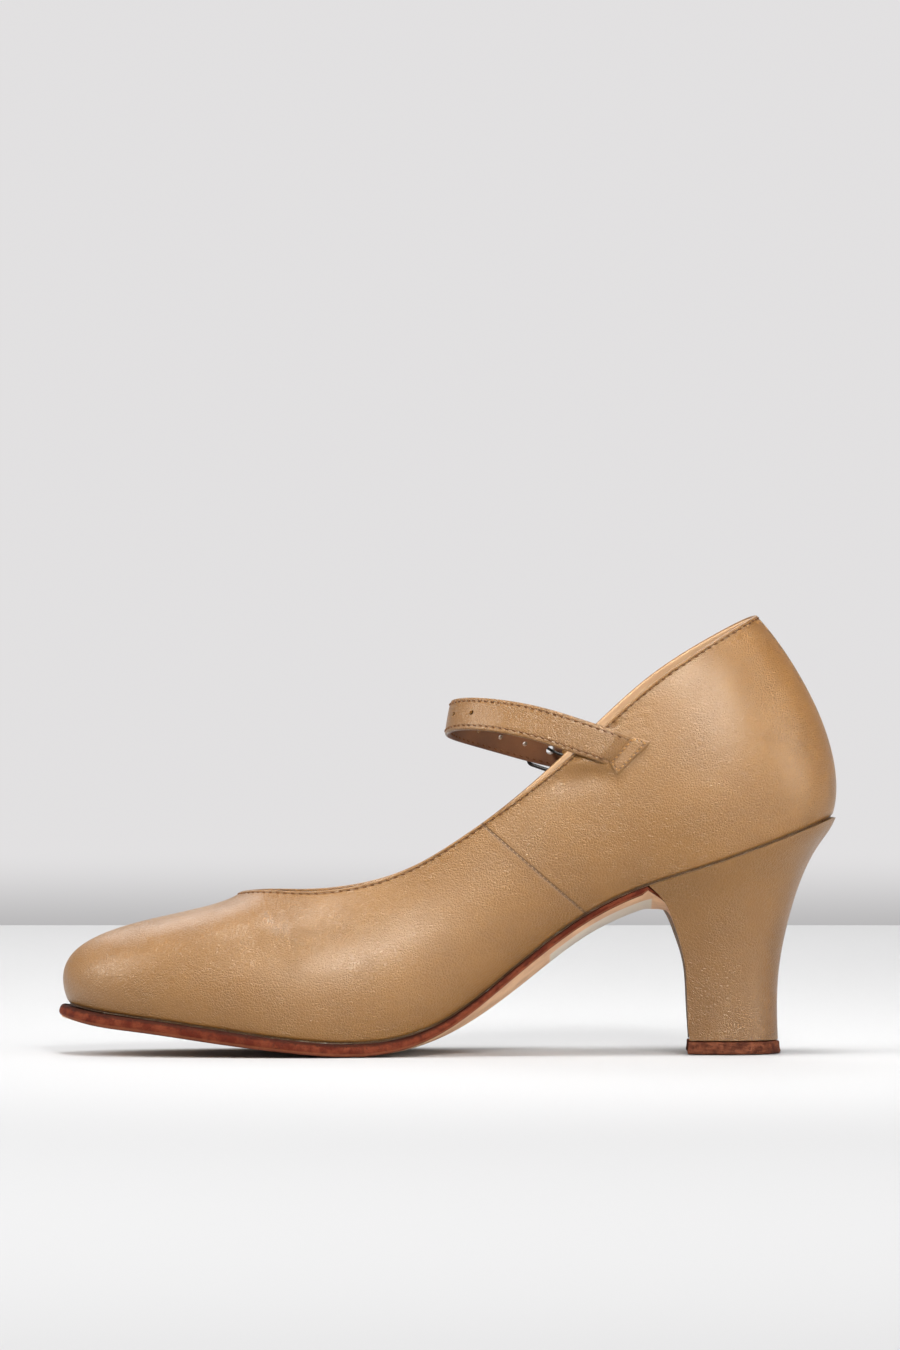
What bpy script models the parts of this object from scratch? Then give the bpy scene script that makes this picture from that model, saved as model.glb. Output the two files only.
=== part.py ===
"""A character shoe for the right foot: a leather court shoe with an instep strap and a covered heel.

Units are metres. +X is towards the toe, +Y towards the medial (inner) side, +Z up.
The origin is on the floor, at the centre of the shoe's bounding box.
"""

import math

import bmesh
import bpy
import numpy as np

MM = 0.001

# Driving dimensions of the last and the shoe
LENGTH = 0.2425  # toe edge of the sole to the back of the heel
BALL_WIDTH = 0.0780  # feather line, across the ball
SEAT_HEIGHT = 0.0740  # floor to the feather line at the back
COLLAR_HEIGHT = 0.1369  # floor to the topline at the back
WALL = 0.0018  # leather and lining of the upper together
GAP = 0.0003  # clearance that every fitted pair keeps

# Resolution of the faceted solids
AROUND = 88
UP = 12
ACROSS = 8

# The feather line, where upper and sole meet. A row for each wall section, from the back to the toe.
# along: percent of LENGTH from the back. inner, outer: percent of BALL_WIDTH to the medial and the
# lateral side. up_inner, up_outer: percent of SEAT_HEIGHT.
FEATHER = (
    # along, inner, outer, up_inner, up_outer
    (0.6, 0.0, 0.0, 100.0, 100.0),
    (3.6, 21.5, -21.5, 96.0, 96.0),
    (9.6, 32.0, -32.2, 88.4, 87.6),
    (17.0, 34.0, -34.8, 79.8, 77.2),
    (24.0, 31.0, -33.6, 72.4, 67.4),
    (32.3, 26.5, -33.6, 59.5, 53.6),
    (41.8, 26.8, -36.6, 36.3, 32.8),
    (50.8, 33.6, -43.0, 14.6, 13.2),
    (59.9, 44.2, -49.2, 6.2, 5.9),
    (69.4, 49.0, -50.4, 7.2, 7.0),
    (79.7, 46.8, -44.8, 11.8, 11.6),
    (89.6, 38.6, -34.0, 16.3, 16.2),
    (95.6, 25.6, -19.0, 19.0, 19.0),
    (98.9, 3.0, 3.0, 21.3, 21.3),
)

# The topline, a row for each wall section, from the back to the throat. Heights are percent of COLLAR_HEIGHT.
TOPLINE = (
    # along, inner, outer, up_inner, up_outer
    (10.5, 0.0, 0.0, 100.0, 100.0),
    (12.1, 15.4, -15.4, 98.4, 98.9),
    (17.0, 26.3, -26.3, 93.1, 94.1),
    (23.6, 31.8, -31.8, 85.0, 86.4),
    (29.4, 34.1, -34.0, 76.0, 77.4),
    (36.4, 36.2, -36.5, 65.2, 65.6),
    (44.2, 36.6, -38.2, 54.9, 54.0),
    (52.1, 34.9, -38.0, 45.6, 44.6),
    (59.1, 32.8, -35.9, 40.0, 39.4),
    (65.7, 30.2, -32.0, 37.7, 37.4),
    (70.6, 26.2, -26.2, 37.5, 37.2),
    (73.9, 20.0, -17.4, 37.6, 37.3),
    (75.9, 11.1, -7.6, 37.2, 37.1),
    (76.6, 1.9, 1.9, 36.9, 36.9),
)

# How each wall section leaves the feather line and reaches the topline. lean_inner, lean_outer: degrees
# outward from upright at the feather line. fall: degrees inward from upright at the topline.
# low, high: the reach of each end of the curve, in percent of the straight distance between them.
WALL_SHAPE = (
    # lean_inner, lean_outer, fall, low, high
    (20, 20, 47, 30, 23),
    (19, 19, 36, 32, 24),
    (18, 18, 20, 35, 27),
    (20, 20, 10, 37, 30),
    (26, 24, 5, 37, 30),
    (38, 26, 3, 38, 30),
    (44, 30, 8, 38, 30),
    (38, 30, 16, 40, 30),
    (24, 22, 32, 42, 28),
    (17, 17, 46, 46, 27),
    (18, 18, 52, 46, 27),
    (21, 21, 53, 46, 27),
    (24, 24, 53, 47, 26),
    (24, 24, 53, 47, 26),
)

# Outsole: a row for each station from the waist end to the toe. along: percent of LENGTH, as above.
OUTSOLE = (
    # along, spread beyond the feather line (mm), thickness (mm), more thickness at the middle (mm)
    (24.0, 0.8, 2.2, 3.3),
    (32.3, 0.8, 2.2, 2.0),
    (41.8, 0.9, 2.3, 2.5),
    (50.8, 1.2, 2.9, 1.3),
    (59.9, 1.7, 3.9, 0.2),
    (69.4, 1.9, 3.9, 0.0),
    (79.7, 2.0, 4.2, 0.0),
    (89.6, 2.1, 4.2, 0.0),
    (95.6, 2.3, 4.2, 0.0),
    (98.9, 2.4, 3.6, 0.0),
)
# The flap that turns down over the heel's breast. width: share of the breast. The last two fill the
# corner under the waist along the middle.
FLAP = (
    # share of the way down the heel, width, forward (mm), lower (mm)
    (0.00, 0.96, 2.5, 7.0),
    (0.03, 0.93, 0.6, 6.1),
    (0.07, 0.86, -0.3, 4.8),
    (0.14, 0.75, -0.4, 2.4),
    (0.24, 0.70, 0.0, 0.3),
    (0.38, 0.70, 0.0, 0.0),
    (0.55, 0.67, 0.0, 0.0),
    (0.76, 0.64, 0.0, 0.0),
    (0.97, 0.62, 0.0, 0.0),
)
SOLE_CROWN = 0.0005  # the last's bottom is this much fuller along its middle
EDGE_CHAMFER = 0.0009

# Heel: a row for each level, from the seat down to the top lift. front, back: mm from the shoe's centre.
# half: half of the width at its widest, hollow: depth of the concave breast.
HEEL_LEVELS = (
    # down (percent), front, back, half, hollow (mm)
    (0, -62.2, -121.1, 28.0, 6.0),
    (4, -64.4, -119.8, 26.6, 6.0),
    (12, -67.6, -116.0, 24.0, 5.8),
    (25, -70.3, -111.1, 20.8, 5.4),
    (45, -73.2, -106.5, 17.7, 4.8),
    (70, -74.3, -103.2, 15.7, 4.2),
    (100, -75.1, -103.0, 15.2, 3.6),
)
LIFT_HEIGHT = 0.0039
LIFT_SPREAD = 0.0004
LIFT_FLARE = 0.0005
FLAP_THICKNESS = 0.0012
INSOLE_THICKNESS = 0.0026

# Strap: its middle line, from the slit in the medial quarter round the front to its tip on the lateral
# side, in mm. lean: degrees that its upper edge tips inward.
STRAP = (
    # x, y, z, lean
    (-53.6, 29.3, 94.6, 7),
    (-47.5, 29.4, 96.9, 6),
    (-41.0, 28.8, 99.1, 8),
    (-30.0, 26.6, 102.6, 17),
    (-18.0, 22.0, 105.2, 24),
    (-9.0, 16.0, 106.1, 25),
    (-3.0, 8.6, 105.8, 19),
    (-0.6, 0.0, 104.6, 10),
    (-3.0, -9.4, 102.9, 15),
    (-9.5, -17.6, 100.7, 21),
    (-18.0, -23.9, 98.1, 24),
    (-27.0, -28.9, 95.6, 20),
    (-36.5, -33.0, 93.3, 15),
    (-43.5, -34.9, 91.7, 10),
    (-53.0, -34.5, 89.5, 8),
    (-63.0, -33.2, 87.2, 7),
)
STRAP_WIDTH = 0.0109
STRAP_THICKNESS = 0.0018
STRAP_CUT = 25  # degrees that the slit is off square to the strap
HOLE_PITCH = 0.0092
HOLE_RADIUS = 0.0008
PRONG_HOLE_RADIUS = 0.0014
# Corners of the stitched patch behind the slit: place on the loop and share of the way up the wall
PATCH = ((0.1075, 0.709), (0.1313, 0.663), (0.1332, 0.734), (0.1144, 0.775))
PATCH_THICKNESS = 0.0009

BUCKLE_X = -0.0318  # its centre on the lateral side of the strap
BUCKLE_REACH = 0.0049  # middle to each bar, along the strap
WIRE = 0.0006  # radius of the buckle's wire
PRONG_WIRE = 0.00045
TAB_WIDTH = 0.0090
TAB_THICKNESS = 0.0008
TAB_LINE = (  # x, y in mm, from its stitched end towards the buckle
    (-58.5, -30.0),
    (-53.0, -29.55),
    (-47.0, -29.05),
    (-43.0, -28.85),
    (-41.2, -28.95),
)

TAN_LEATHER = (0.52, 0.33, 0.17)
EDGE_BROWN = (0.16, 0.055, 0.03)
LINING_TAN = (0.55, 0.38, 0.22)
DARK_METAL = (0.03, 0.03, 0.032)


class Curve:
    """A smooth cubic curve through rows of numbers, open or, with a period, closed into a loop."""

    def __init__(self, knots, rows, period=None):
        self.knots = np.asarray(knots, float)
        self.rows = np.asarray(rows, float)
        self.period = period
        count = len(self.knots)
        if period is None:
            steps = np.diff(self.knots)
            matrix = np.eye(count)
            right = np.zeros_like(self.rows)
            inner = range(1, count - 1)
        else:
            steps = np.diff(np.append(self.knots, self.knots[0] + period))
            matrix = np.zeros((count, count))
            right = np.zeros_like(self.rows)
            inner = range(count)
        self.steps = steps
        for i in inner:
            before, after = steps[i - 1], steps[i]
            ahead = (i + 1) % count
            matrix[i, i - 1] += before
            matrix[i, i] += 2 * (before + after) - (1 if period is None else 0)
            matrix[i, ahead] += after
            rise = (self.rows[ahead] - self.rows[i]) / after
            fall = (self.rows[i] - self.rows[i - 1]) / before
            right[i] = 6 * (rise - fall)
            if period is None:
                matrix[i, i] = 2 * (before + after)
        self.bends = np.linalg.solve(matrix, right)

    def at(self, where):
        """The row at each parameter."""
        where = np.atleast_1d(np.asarray(where, float))
        count = len(self.knots)
        if self.period is None:
            low = np.clip(np.searchsorted(self.knots, where, "right") - 1, 0, count - 2)
        else:
            where = self.knots[0] + (where - self.knots[0]) % self.period
            low = np.clip(np.searchsorted(self.knots, where, "right") - 1, 0, count - 1)
        high = (low + 1) % count
        step = self.steps[low][:, None]
        b = (where - self.knots[low])[:, None] / step
        a = 1 - b
        straight = a * self.rows[low] + b * self.rows[high]
        bend = (a**3 - a) * self.bends[low] + (b**3 - b) * self.bends[high]
        return straight + bend * step**2 / 6


def station_knots():
    """Places of the wall sections on the loop: 0 at the back, 0.5 at the toe, by the length between them."""
    table = np.array(FEATHER)
    along = table[:, 0] / 100 * LENGTH
    reach = []
    for column in (1, 2):
        side = table[:, column] / 100 * BALL_WIDTH
        reach.append(np.hypot(np.diff(along), np.diff(side)))
    total = np.concatenate([[0], np.cumsum(sum(reach))])
    return total / total[-1] / 2


STATIONS = station_knots()
LOOP_KNOTS = np.concatenate([STATIONS, 1 - STATIONS[-2:0:-1]])


def loop_of(inner, outer):
    """A loop curve from rows of the medial side, back to toe, and of the lateral side."""
    return Curve(LOOP_KNOTS, np.concatenate([inner, outer[-2:0:-1]]), period=1.0)


def ring_of(table, height):
    """The loop curve of a feather or topline table, in metres."""
    rows = np.array(table) / 100
    along = (rows[:, 0] - 0.5) * LENGTH
    sides = []
    for side, up in ((1, 3), (2, 4)):
        sides.append(np.stack([along, rows[:, side] * BALL_WIDTH, rows[:, up] * height], axis=1))
    return loop_of(*sides)


def wall_shape_ring():
    """The loop curve of lean, fall, low and high."""
    rows = np.array(WALL_SHAPE, float)
    return loop_of(rows[:, [0, 2, 3, 4]], rows[:, [1, 2, 3, 4]])


FEATHER_RING = ring_of(FEATHER, SEAT_HEIGHT)
TOPLINE_RING = ring_of(TOPLINE, COLLAR_HEIGHT)
SHAPE_RING = wall_shape_ring()


def outward(ring, q):
    """Level unit vectors that point out of a ring."""
    step = 1e-4
    run = ring.at(q + step) - ring.at(q - step)
    out = np.stack([-run[:, 1], run[:, 0], np.zeros(len(run))], axis=1)
    return out / np.linalg.norm(out, axis=1)[:, None]


def wall(q, v):
    """Points of the upper's outer face. q runs round the shoe and v from feather line to topline."""
    q, v = np.broadcast_arrays(np.atleast_1d(q), v)
    foot, top = FEATHER_RING.at(q), TOPLINE_RING.at(q)
    lean, fall, low, high = SHAPE_RING.at(q).T
    lean, fall = np.radians(lean)[:, None], np.radians(fall)[:, None]
    reach = np.linalg.norm(top - foot, axis=1)
    upright = np.array([[0, 0, 1.0]])
    leave = np.sin(lean) * outward(FEATHER_RING, q) + np.cos(lean) * upright
    arrive = -np.sin(fall) * outward(TOPLINE_RING, q) + np.cos(fall) * upright
    first = foot + leave * (reach * low / 100)[:, None]
    second = top - arrive * (reach * high / 100)[:, None]
    b = v[:, None]
    a = 1 - b
    return a**3 * foot + 3 * a * a * b * first + 3 * a * b * b * second + b**3 * top


def q_at(along):
    """The place on the loop's medial half where the feather line is that percent along."""
    places = np.linspace(0, 0.5, 400)
    run = (FEATHER_RING.at(places)[:, 0] / LENGTH + 0.5) * 100
    return np.interp(along, run, places)


def edge_point(q, spread):
    """The feather line moved out by spread, in plan."""
    q = np.atleast_1d(q)
    return FEATHER_RING.at(q) + outward(FEATHER_RING, q) * np.reshape(spread, (-1, 1))


def crown_at(x):
    """How much fuller the last's bottom is along its middle: nothing at the heel seat."""
    share = np.clip(((x / LENGTH + 0.5) * 100 - 26) / 22, 0, 1)
    return SOLE_CROWN * share * share * (3 - 2 * share)


def ladder(q, spread, share):
    """Points of the last's bottom between its medial and lateral edges. share is 0 medial, 1 lateral."""
    inner = edge_point(q, spread)[:, None]
    outer = edge_point(1 - q, spread)[:, None]
    rows = inner * (1 - share)[None, :, None] + outer * share[None, :, None]
    rows[:, :, 2] -= crown_at(rows[:, :, 0]) * (4 * share * (1 - share))[None]
    return rows


def bed_height(x, y):
    """Height of the heel seat, straight across between the two feather lines."""
    q = q_at((x / LENGTH + 0.5) * 100)
    inner, outer = FEATHER_RING.at(q), FEATHER_RING.at(1 - q)
    width = np.maximum(inner[:, 1] - outer[:, 1], 2 * MM)
    share = np.clip((inner[:, 1] - y) / width, 0, 1)
    return inner[:, 2] * (1 - share) + outer[:, 2] * share


def material(name, colour, roughness, metallic=0.0):
    made = bpy.data.materials.new(name)
    made.use_nodes = True
    shader = made.node_tree.nodes["Principled BSDF"]
    shader.inputs["Base Color"].default_value = (*colour, 1)
    shader.inputs["Roughness"].default_value = roughness
    shader.inputs["Metallic"].default_value = metallic
    return made


def add_object(name, points, faces, finish):
    """A named object from points and faces, shaded smooth."""
    mesh = bpy.data.meshes.new(name)
    mesh.from_pydata([tuple(p) for p in points], [], faces)
    mesh.materials.append(finish)
    mesh.shade_smooth()
    mesh.set_sharp_from_angle(angle=math.radians(35))
    made = bpy.data.objects.new(name, mesh)
    bpy.context.scene.collection.objects.link(made)
    return made


def lofted(name, rings, finish):
    """A solid through rings of equal point count, capped at both ends."""
    rings = np.asarray(rings, float)
    count, size = rings.shape[:2]
    faces = []
    for i in range(count - 1):
        for j in range(size):
            k = (j + 1) % size
            faces.append((i * size + j, i * size + k, (i + 1) * size + k, (i + 1) * size + j))
    faces.append(tuple(range(size))[::-1])
    faces.append(tuple((count - 1) * size + j for j in range(size)))
    made = add_object(name, rings.reshape(-1, 3), faces, finish)
    shape = bmesh.new()
    shape.from_mesh(made.data)
    caps = [f for f in shape.faces if len(f.verts) > 4]
    bmesh.ops.triangulate(shape, faces=caps)
    bmesh.ops.recalc_face_normals(shape, faces=shape.faces)
    shape.to_mesh(made.data)
    shape.free()
    return made


def slab(name, top, bottom, finish):
    """A solid between two ladders of rows: the top face and the bottom face, joined round their edge."""
    rings = [np.concatenate([a, b[::-1]]) for a, b in zip(top, bottom)]
    return strip_capped(name, rings, top.shape[1], finish)


def strip_capped(name, rings, width, finish):
    """A lofted solid whose end caps are quads between its top and bottom rows."""
    rings = np.asarray(rings, float)
    count, size = rings.shape[:2]
    faces = []
    for i in range(count - 1):
        for j in range(size):
            k = (j + 1) % size
            faces.append((i * size + j, i * size + k, (i + 1) * size + k, (i + 1) * size + j))
    for i in (0, count - 1):
        for j in range(width - 1):
            quad = (i * size + j, i * size + j + 1, i * size + size - 2 - j, i * size + size - 1 - j)
            faces.append(quad if i else quad[::-1])
    made = add_object(name, rings.reshape(-1, 3), faces, finish)
    shape = bmesh.new()
    shape.from_mesh(made.data)
    bmesh.ops.recalc_face_normals(shape, faces=shape.faces)
    shape.to_mesh(made.data)
    shape.free()
    return made


def make_upper(finish):
    """The hollow upper: its outer face from wall(), given its thickness inwards."""
    q = np.arange(AROUND) / AROUND
    levels = np.linspace(0, 1, UP + 1)
    points = np.concatenate([wall(q, np.full(AROUND, v)) for v in levels])
    faces = []
    for i in range(UP):
        for j in range(AROUND):
            k = (j + 1) % AROUND
            low, high = i * AROUND, (i + 1) * AROUND
            faces.append((low + j, high + j, high + k, low + k))
    upper = add_object("upper", points, faces, finish)
    thicken = upper.modifiers.new("wall", "SOLIDIFY")
    thicken.thickness = WALL
    thicken.offset = -1
    thicken.use_even_offset = True
    thicken.use_quality_normals = True
    return upper


def outsole_stations():
    """Rows from the toe back to the waist: place on the loop, spread, thickness and fullness."""
    table = np.array(OUTSOLE)
    curve = Curve(table[:, 0], table[:, 1:] * MM)
    toe = 98.9 - 22 * (1 - np.cos(np.linspace(0.06, math.pi / 2, 10)))
    along = np.concatenate([toe, np.linspace(74, 25.5, 22)])
    spread, thick, full = curve.at(along).T
    return q_at(along), spread, thick, np.maximum(full, 0)


def heel_section(down):
    """Front, back, half width and hollow of the heel at a share of the way down, in metres."""
    table = np.array(HEEL_LEVELS, float)
    return Curve(table[:, 0] / 100, table[:, 1:] * MM).at(down)[0]


HEEL_FRONT_Q = float(q_at(100 * (0.5 - 62.2 / 242.5)))


def seat_outline(count):
    """The seat's outline from its medial front corner round the back to the lateral one, each as a
    share of its length and half width."""
    q = np.linspace(HEEL_FRONT_Q, -HEEL_FRONT_Q, count)
    line = FEATHER_RING.at(q)
    front, back = line[[0, -1], 0].mean(), line[:, 0].min()
    return (line[:, 0] - back) / (front - back), line[:, 1] / np.abs(line[:, 1]).max()


def heel_ring(down, outline, breast):
    """One level of the heel: the seat's outline drawn in to its front, back and width, and its breast."""
    share, side = outline
    levels = []
    for level in (0.0, down):
        front, back, half, hollow = heel_section(level)
        rim = np.stack([back + share * (front - back), side * half], axis=1)
        t = np.linspace(0, 1, breast + 2)[1:-1]
        line = rim[-1] * (1 - t)[:, None] + rim[0] * t[:, None]
        line[:, 0] -= hollow * 4 * t * (1 - t)
        levels.append(np.concatenate([rim, line]))
    seat, plan = levels
    height = bed_height(seat[:, 0], seat[:, 1]) - GAP
    z = height + (LIFT_HEIGHT + GAP - height) * down
    return np.column_stack([plan, z])


def breast_rows(downs, shares, width, clear):
    """Rows across the heel's breast, moved forward by clear. width: how much of the breast they cover."""
    rows = []
    for down, part in zip(downs, width):
        ring = heel_ring(down, seat_outline(3), 39)
        whole = np.concatenate([ring[2:], ring[:1]])[::-1]
        t = 0.5 + (shares - 0.5) * part
        line = Curve(np.linspace(0, 1, len(whole)), whole).at(t)
        drop = bed_height(line[:, 0], line[:, 1]) - bed_height(line[:, 0] + clear, line[:, 1])
        line[:, 0] += clear
        line[:, 2] -= drop * (1 - down)
        rows.append(line)
    return np.array(rows)


def make_heel(finish):
    """The covered heel block, hollow-breasted, from the seat down to the top lift."""
    outline = seat_outline(33)
    top = heel_ring(0.0, outline, 7)
    centre = np.array([-0.0930, 0.0])
    rings = []
    for scale in (0.3, 0.65):
        ring = top.copy()
        ring[:, :2] = centre + (top[:, :2] - centre) * scale
        ring[:, 2] = bed_height(ring[:, 0], ring[:, 1]) - GAP
        rings.append(ring)
    for down in (0, 0.04, 0.08, 0.14, 0.22, 0.32, 0.44, 0.58, 0.74, 0.88, 1.0):
        rings.append(heel_ring(down, outline, 7))
    return lofted("heel", rings, finish)


def make_top_lift(finish):
    """The wearing piece under the heel."""
    outline = seat_outline(33)
    ring = heel_ring(1.0, outline, 7)
    centre = ring.mean(axis=0)
    rings = []
    for height, spread in ((LIFT_HEIGHT, LIFT_SPREAD), (0.0012, LIFT_SPREAD + LIFT_FLARE), (0.0, LIFT_SPREAD)):
        out = ring - centre
        out[:, 2] = 0
        long = np.linalg.norm(out, axis=1)[:, None]
        level = ring + out / long * spread
        level[:, 2] = height
        rings.append(level)
    return lofted("top_lift", rings, finish)


def sole_down(path):
    """Unit vectors that point down out of the sole along its middle line, which runs from the toe back."""
    run = np.gradient(path[:, [0, 2]], axis=0)
    down = np.stack([-run[:, 1], np.zeros(len(run)), run[:, 0]], axis=1)
    return down / np.linalg.norm(down, axis=1)[:, None]


def make_outsole(finish):
    """The outsole: forepart, waist and the flap that turns down over the heel's breast."""
    q, spread, thick, full = outsole_stations()
    shares = np.linspace(0, 1, ACROSS + 1)
    downs, width, forward, lower = np.array(FLAP).T
    flap = breast_rows(downs, shares, width, 3 * GAP)
    thin = np.full(len(downs), FLAP_THICKNESS)
    levels = []
    for out, deep in ((0, 0), (0.0001, 0.6), (-EDGE_CHAMFER, 1)):
        rows = ladder(q, spread + out, shares)
        rows[:, :, 2] -= GAP
        levels.append((np.concatenate([rows, flap]), deep * np.concatenate([thick, thin])))
    normal = sole_down(levels[0][0][:, ACROSS // 2])
    corner = np.column_stack([forward, np.zeros(len(downs)), -lower]) * MM
    fill = np.concatenate([normal[: len(q)] * full[:, None], corner])
    arch = (4 * shares * (1 - shares))[None, :, None]
    faces = []
    for rows, depth in levels:
        face = rows + normal[:, None] * depth[:, None, None]
        if rows is levels[-1][0]:
            face = face + arch * fill[:, None]
        face[:, :, 2] = np.maximum(face[:, :, 2], 0.0)
        faces.append(face)
    top, side, under = faces
    rings = [
        np.concatenate([top[i], side[i, -1:], under[i, ::-1], side[i, :1]]) for i in range(len(top))
    ]
    return lofted("outsole", rings, finish)


def make_insole(finish):
    """Insole board and sock together: the floor of the inside, between the walls."""
    ends = np.linspace(0.10, math.pi / 2, 7)
    toe = 98.3 - 16 * (1 - np.cos(ends))
    heel = 1.4 + 14 * (1 - np.cos(ends[::-1]))
    along = np.concatenate([toe, np.linspace(78, 20, 18), heel])
    q = q_at(along)
    shares = np.linspace(0, 1, ACROSS + 1)
    bottom = ladder(q, np.full(len(q), -(WALL + 2 * GAP)), shares)
    bottom[:, :, 2] += GAP
    top = bottom.copy()
    top[:, :, 2] += INSOLE_THICKNESS
    return slab("insole", top, bottom, finish)


def unit(rows):
    return rows / np.linalg.norm(rows, axis=-1, keepdims=True)


def band_frames(points, lean):
    """Directions along, up the width of, and out of a band whose middle line passes through points."""
    run = unit(np.gradient(points, axis=0))
    out = unit(np.cross([0, 0, 1.0], run))
    up = np.cos(lean)[:, None] * np.array([0, 0, 1.0]) - np.sin(lean)[:, None] * out
    up = unit(up - (up * run).sum(axis=1)[:, None] * run)
    return run, up, np.cross(up, run)


def band_rings(points, frames, width, thickness, scale):
    """Rings of a flat band with eased edges. scale: share of the width at each point."""
    run, up, out = frames
    ease = thickness * 0.3
    half, deep = width / 2, thickness / 2
    corners = ((-1, -1), (1, -1), (1, 1), (-1, 1))
    rings = []
    for k in range(len(points)):
        ring = []
        for side, face in corners:
            edge, near = side * half * scale[k], face * deep
            pair = [(edge, near - face * ease), (edge - side * ease, near)]
            if side * face < 0:
                pair = pair[::-1]
            ring += [points[k] + up[k] * w + out[k] * n for w, n in pair]
        rings.append(ring)
    return np.array(rings)


def strap_curve():
    """The strap's middle line and lean as a curve by its length in metres."""
    table = np.array(STRAP, float) * [MM, MM, MM, math.pi / 180]
    run = np.concatenate([[0], np.cumsum(np.linalg.norm(np.diff(table[:, :3], axis=0), axis=1))])
    return Curve(run, table), run[-1]


def strap_at(place):
    """The strap's middle and its directions along, up and out at one place."""
    curve, _ = strap_curve()
    rows = curve.at(place + np.array([-0.0004, 0, 0.0004]))
    run, up, out = band_frames(rows[:, :3], rows[:, 3])
    return rows[1, :3], run[1], up[1], out[1]


def buckle_place():
    """Where the middle of the buckle is, by length along the strap."""
    curve, length = strap_curve()
    places = np.linspace(length / 2, length, 800)
    return float(places[np.abs(curve.at(places)[:, 0] - BUCKLE_X).argmin()])


def boolean_cut(body, cutter):
    cutter.hide_render = True
    cutter.display_type = "WIRE"
    cut = body.modifiers.new("cut", "BOOLEAN")
    cut.operation = "DIFFERENCE"
    cut.solver = "EXACT"
    cut.object = cutter


def make_strap(finish):
    """The strap, with a row of buckle holes."""
    curve, length = strap_curve()
    tip = np.array([0.0, 0.0012, 0.0028, 0.0050])
    places = np.concatenate([np.linspace(0, length - 0.008, 40), (length - tip)[::-1]])
    rows = curve.at(places)
    points, lean = rows[:, :3], rows[:, 3]
    scale = np.interp(length - places, tip, [0.45, 0.80, 0.95, 1.0])
    frames = band_frames(points, lean)
    rings = band_rings(points, frames, STRAP_WIDTH, STRAP_THICKNESS, scale)
    slant = math.tan(math.radians(STRAP_CUT)) * np.clip(1 - places / 0.012, 0, 1)
    offset = ((rings - points[:, None]) * frames[1][:, None]).sum(axis=2)
    rings -= frames[0][:, None] * (offset * slant[:, None])[:, :, None]
    strap = lofted("strap", rings, finish)
    cutters = []
    for k in range(-1, 8):
        radius = HOLE_RADIUS if k else PRONG_HOLE_RADIUS
        middle, run, up, out = strap_at(buckle_place() - k * HOLE_PITCH)
        turn = np.linspace(0, 2 * math.pi, 9)[:-1]
        circle = radius * (np.cos(turn)[:, None] * run + np.sin(turn)[:, None] * up)
        depth = STRAP_THICKNESS
        cutters.append([middle + circle + out * depth, middle + circle - out * depth])
    for k, rings in enumerate(cutters):
        boolean_cut(strap, lofted(f"hole_{k + 1}", rings, finish))
    return strap


def make_patch(finish):
    """The stitched patch over the strap's end, on the outside of the medial quarter."""
    a, b = np.meshgrid(np.linspace(0, 1, 5), np.linspace(0, 1, 4))
    corners = np.array(PATCH)
    low = corners[0] * (1 - a[..., None]) + corners[1] * a[..., None]
    high = corners[3] * (1 - a[..., None]) + corners[2] * a[..., None]
    place = (low * (1 - b[..., None]) + high * b[..., None]).reshape(-1, 2)
    step = 1e-4
    across = wall(place[:, 0] + step, place[:, 1]) - wall(place[:, 0] - step, place[:, 1])
    upward = wall(place[:, 0], place[:, 1] + step) - wall(place[:, 0], place[:, 1] - step)
    normal = unit(np.cross(across, upward))
    normal *= np.sign(normal[:, 1:2])
    base = wall(place[:, 0], place[:, 1])
    low, high = (base + normal * lift for lift in (2 * GAP, 2 * GAP + PATCH_THICKNESS))
    return slab("strap_anchor", high.reshape(4, 5, 3), low.reshape(4, 5, 3), finish)


def tube(name, points, radius, finish, closed=False, sides=8):
    """A round wire along points that lie near one plane."""
    points = np.asarray(points, float)
    if closed:
        run = unit(np.roll(points, -1, axis=0) - np.roll(points, 1, axis=0))
    else:
        run = unit(np.gradient(points, axis=0))
    flat = np.linalg.svd(points - points.mean(axis=0))[2][2]
    side = unit(flat - (run @ flat)[:, None] * run)
    other = np.cross(run, side)
    turn = np.linspace(0, 2 * math.pi, sides + 1)[:-1]
    rings = points[:, None] + radius * (
        np.cos(turn)[None, :, None] * side[:, None] + np.sin(turn)[None, :, None] * other[:, None]
    )
    if not closed:
        return lofted(name, rings, finish)
    count = len(rings)
    faces = []
    for i in range(count):
        for j in range(sides):
            k, m = (j + 1) % sides, (i + 1) % count
            faces.append((i * sides + j, i * sides + k, m * sides + k, m * sides + j))
    made = add_object(name, rings.reshape(-1, 3), faces, finish)
    shape = bmesh.new()
    shape.from_mesh(made.data)
    bmesh.ops.recalc_face_normals(shape, faces=shape.faces)
    shape.to_mesh(made.data)
    shape.free()
    return made


def buckle_points():
    """The buckle's middle and directions, and how far out its front bar and its hinge bar stand."""
    middle, run, up, out = strap_at(buckle_place())
    front = STRAP_THICKNESS / 2 + GAP + WIRE
    hinge = -(STRAP_THICKNESS / 2 + 2 * GAP + TAB_THICKNESS + WIRE)
    return middle, run, up, out, front, hinge


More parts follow.
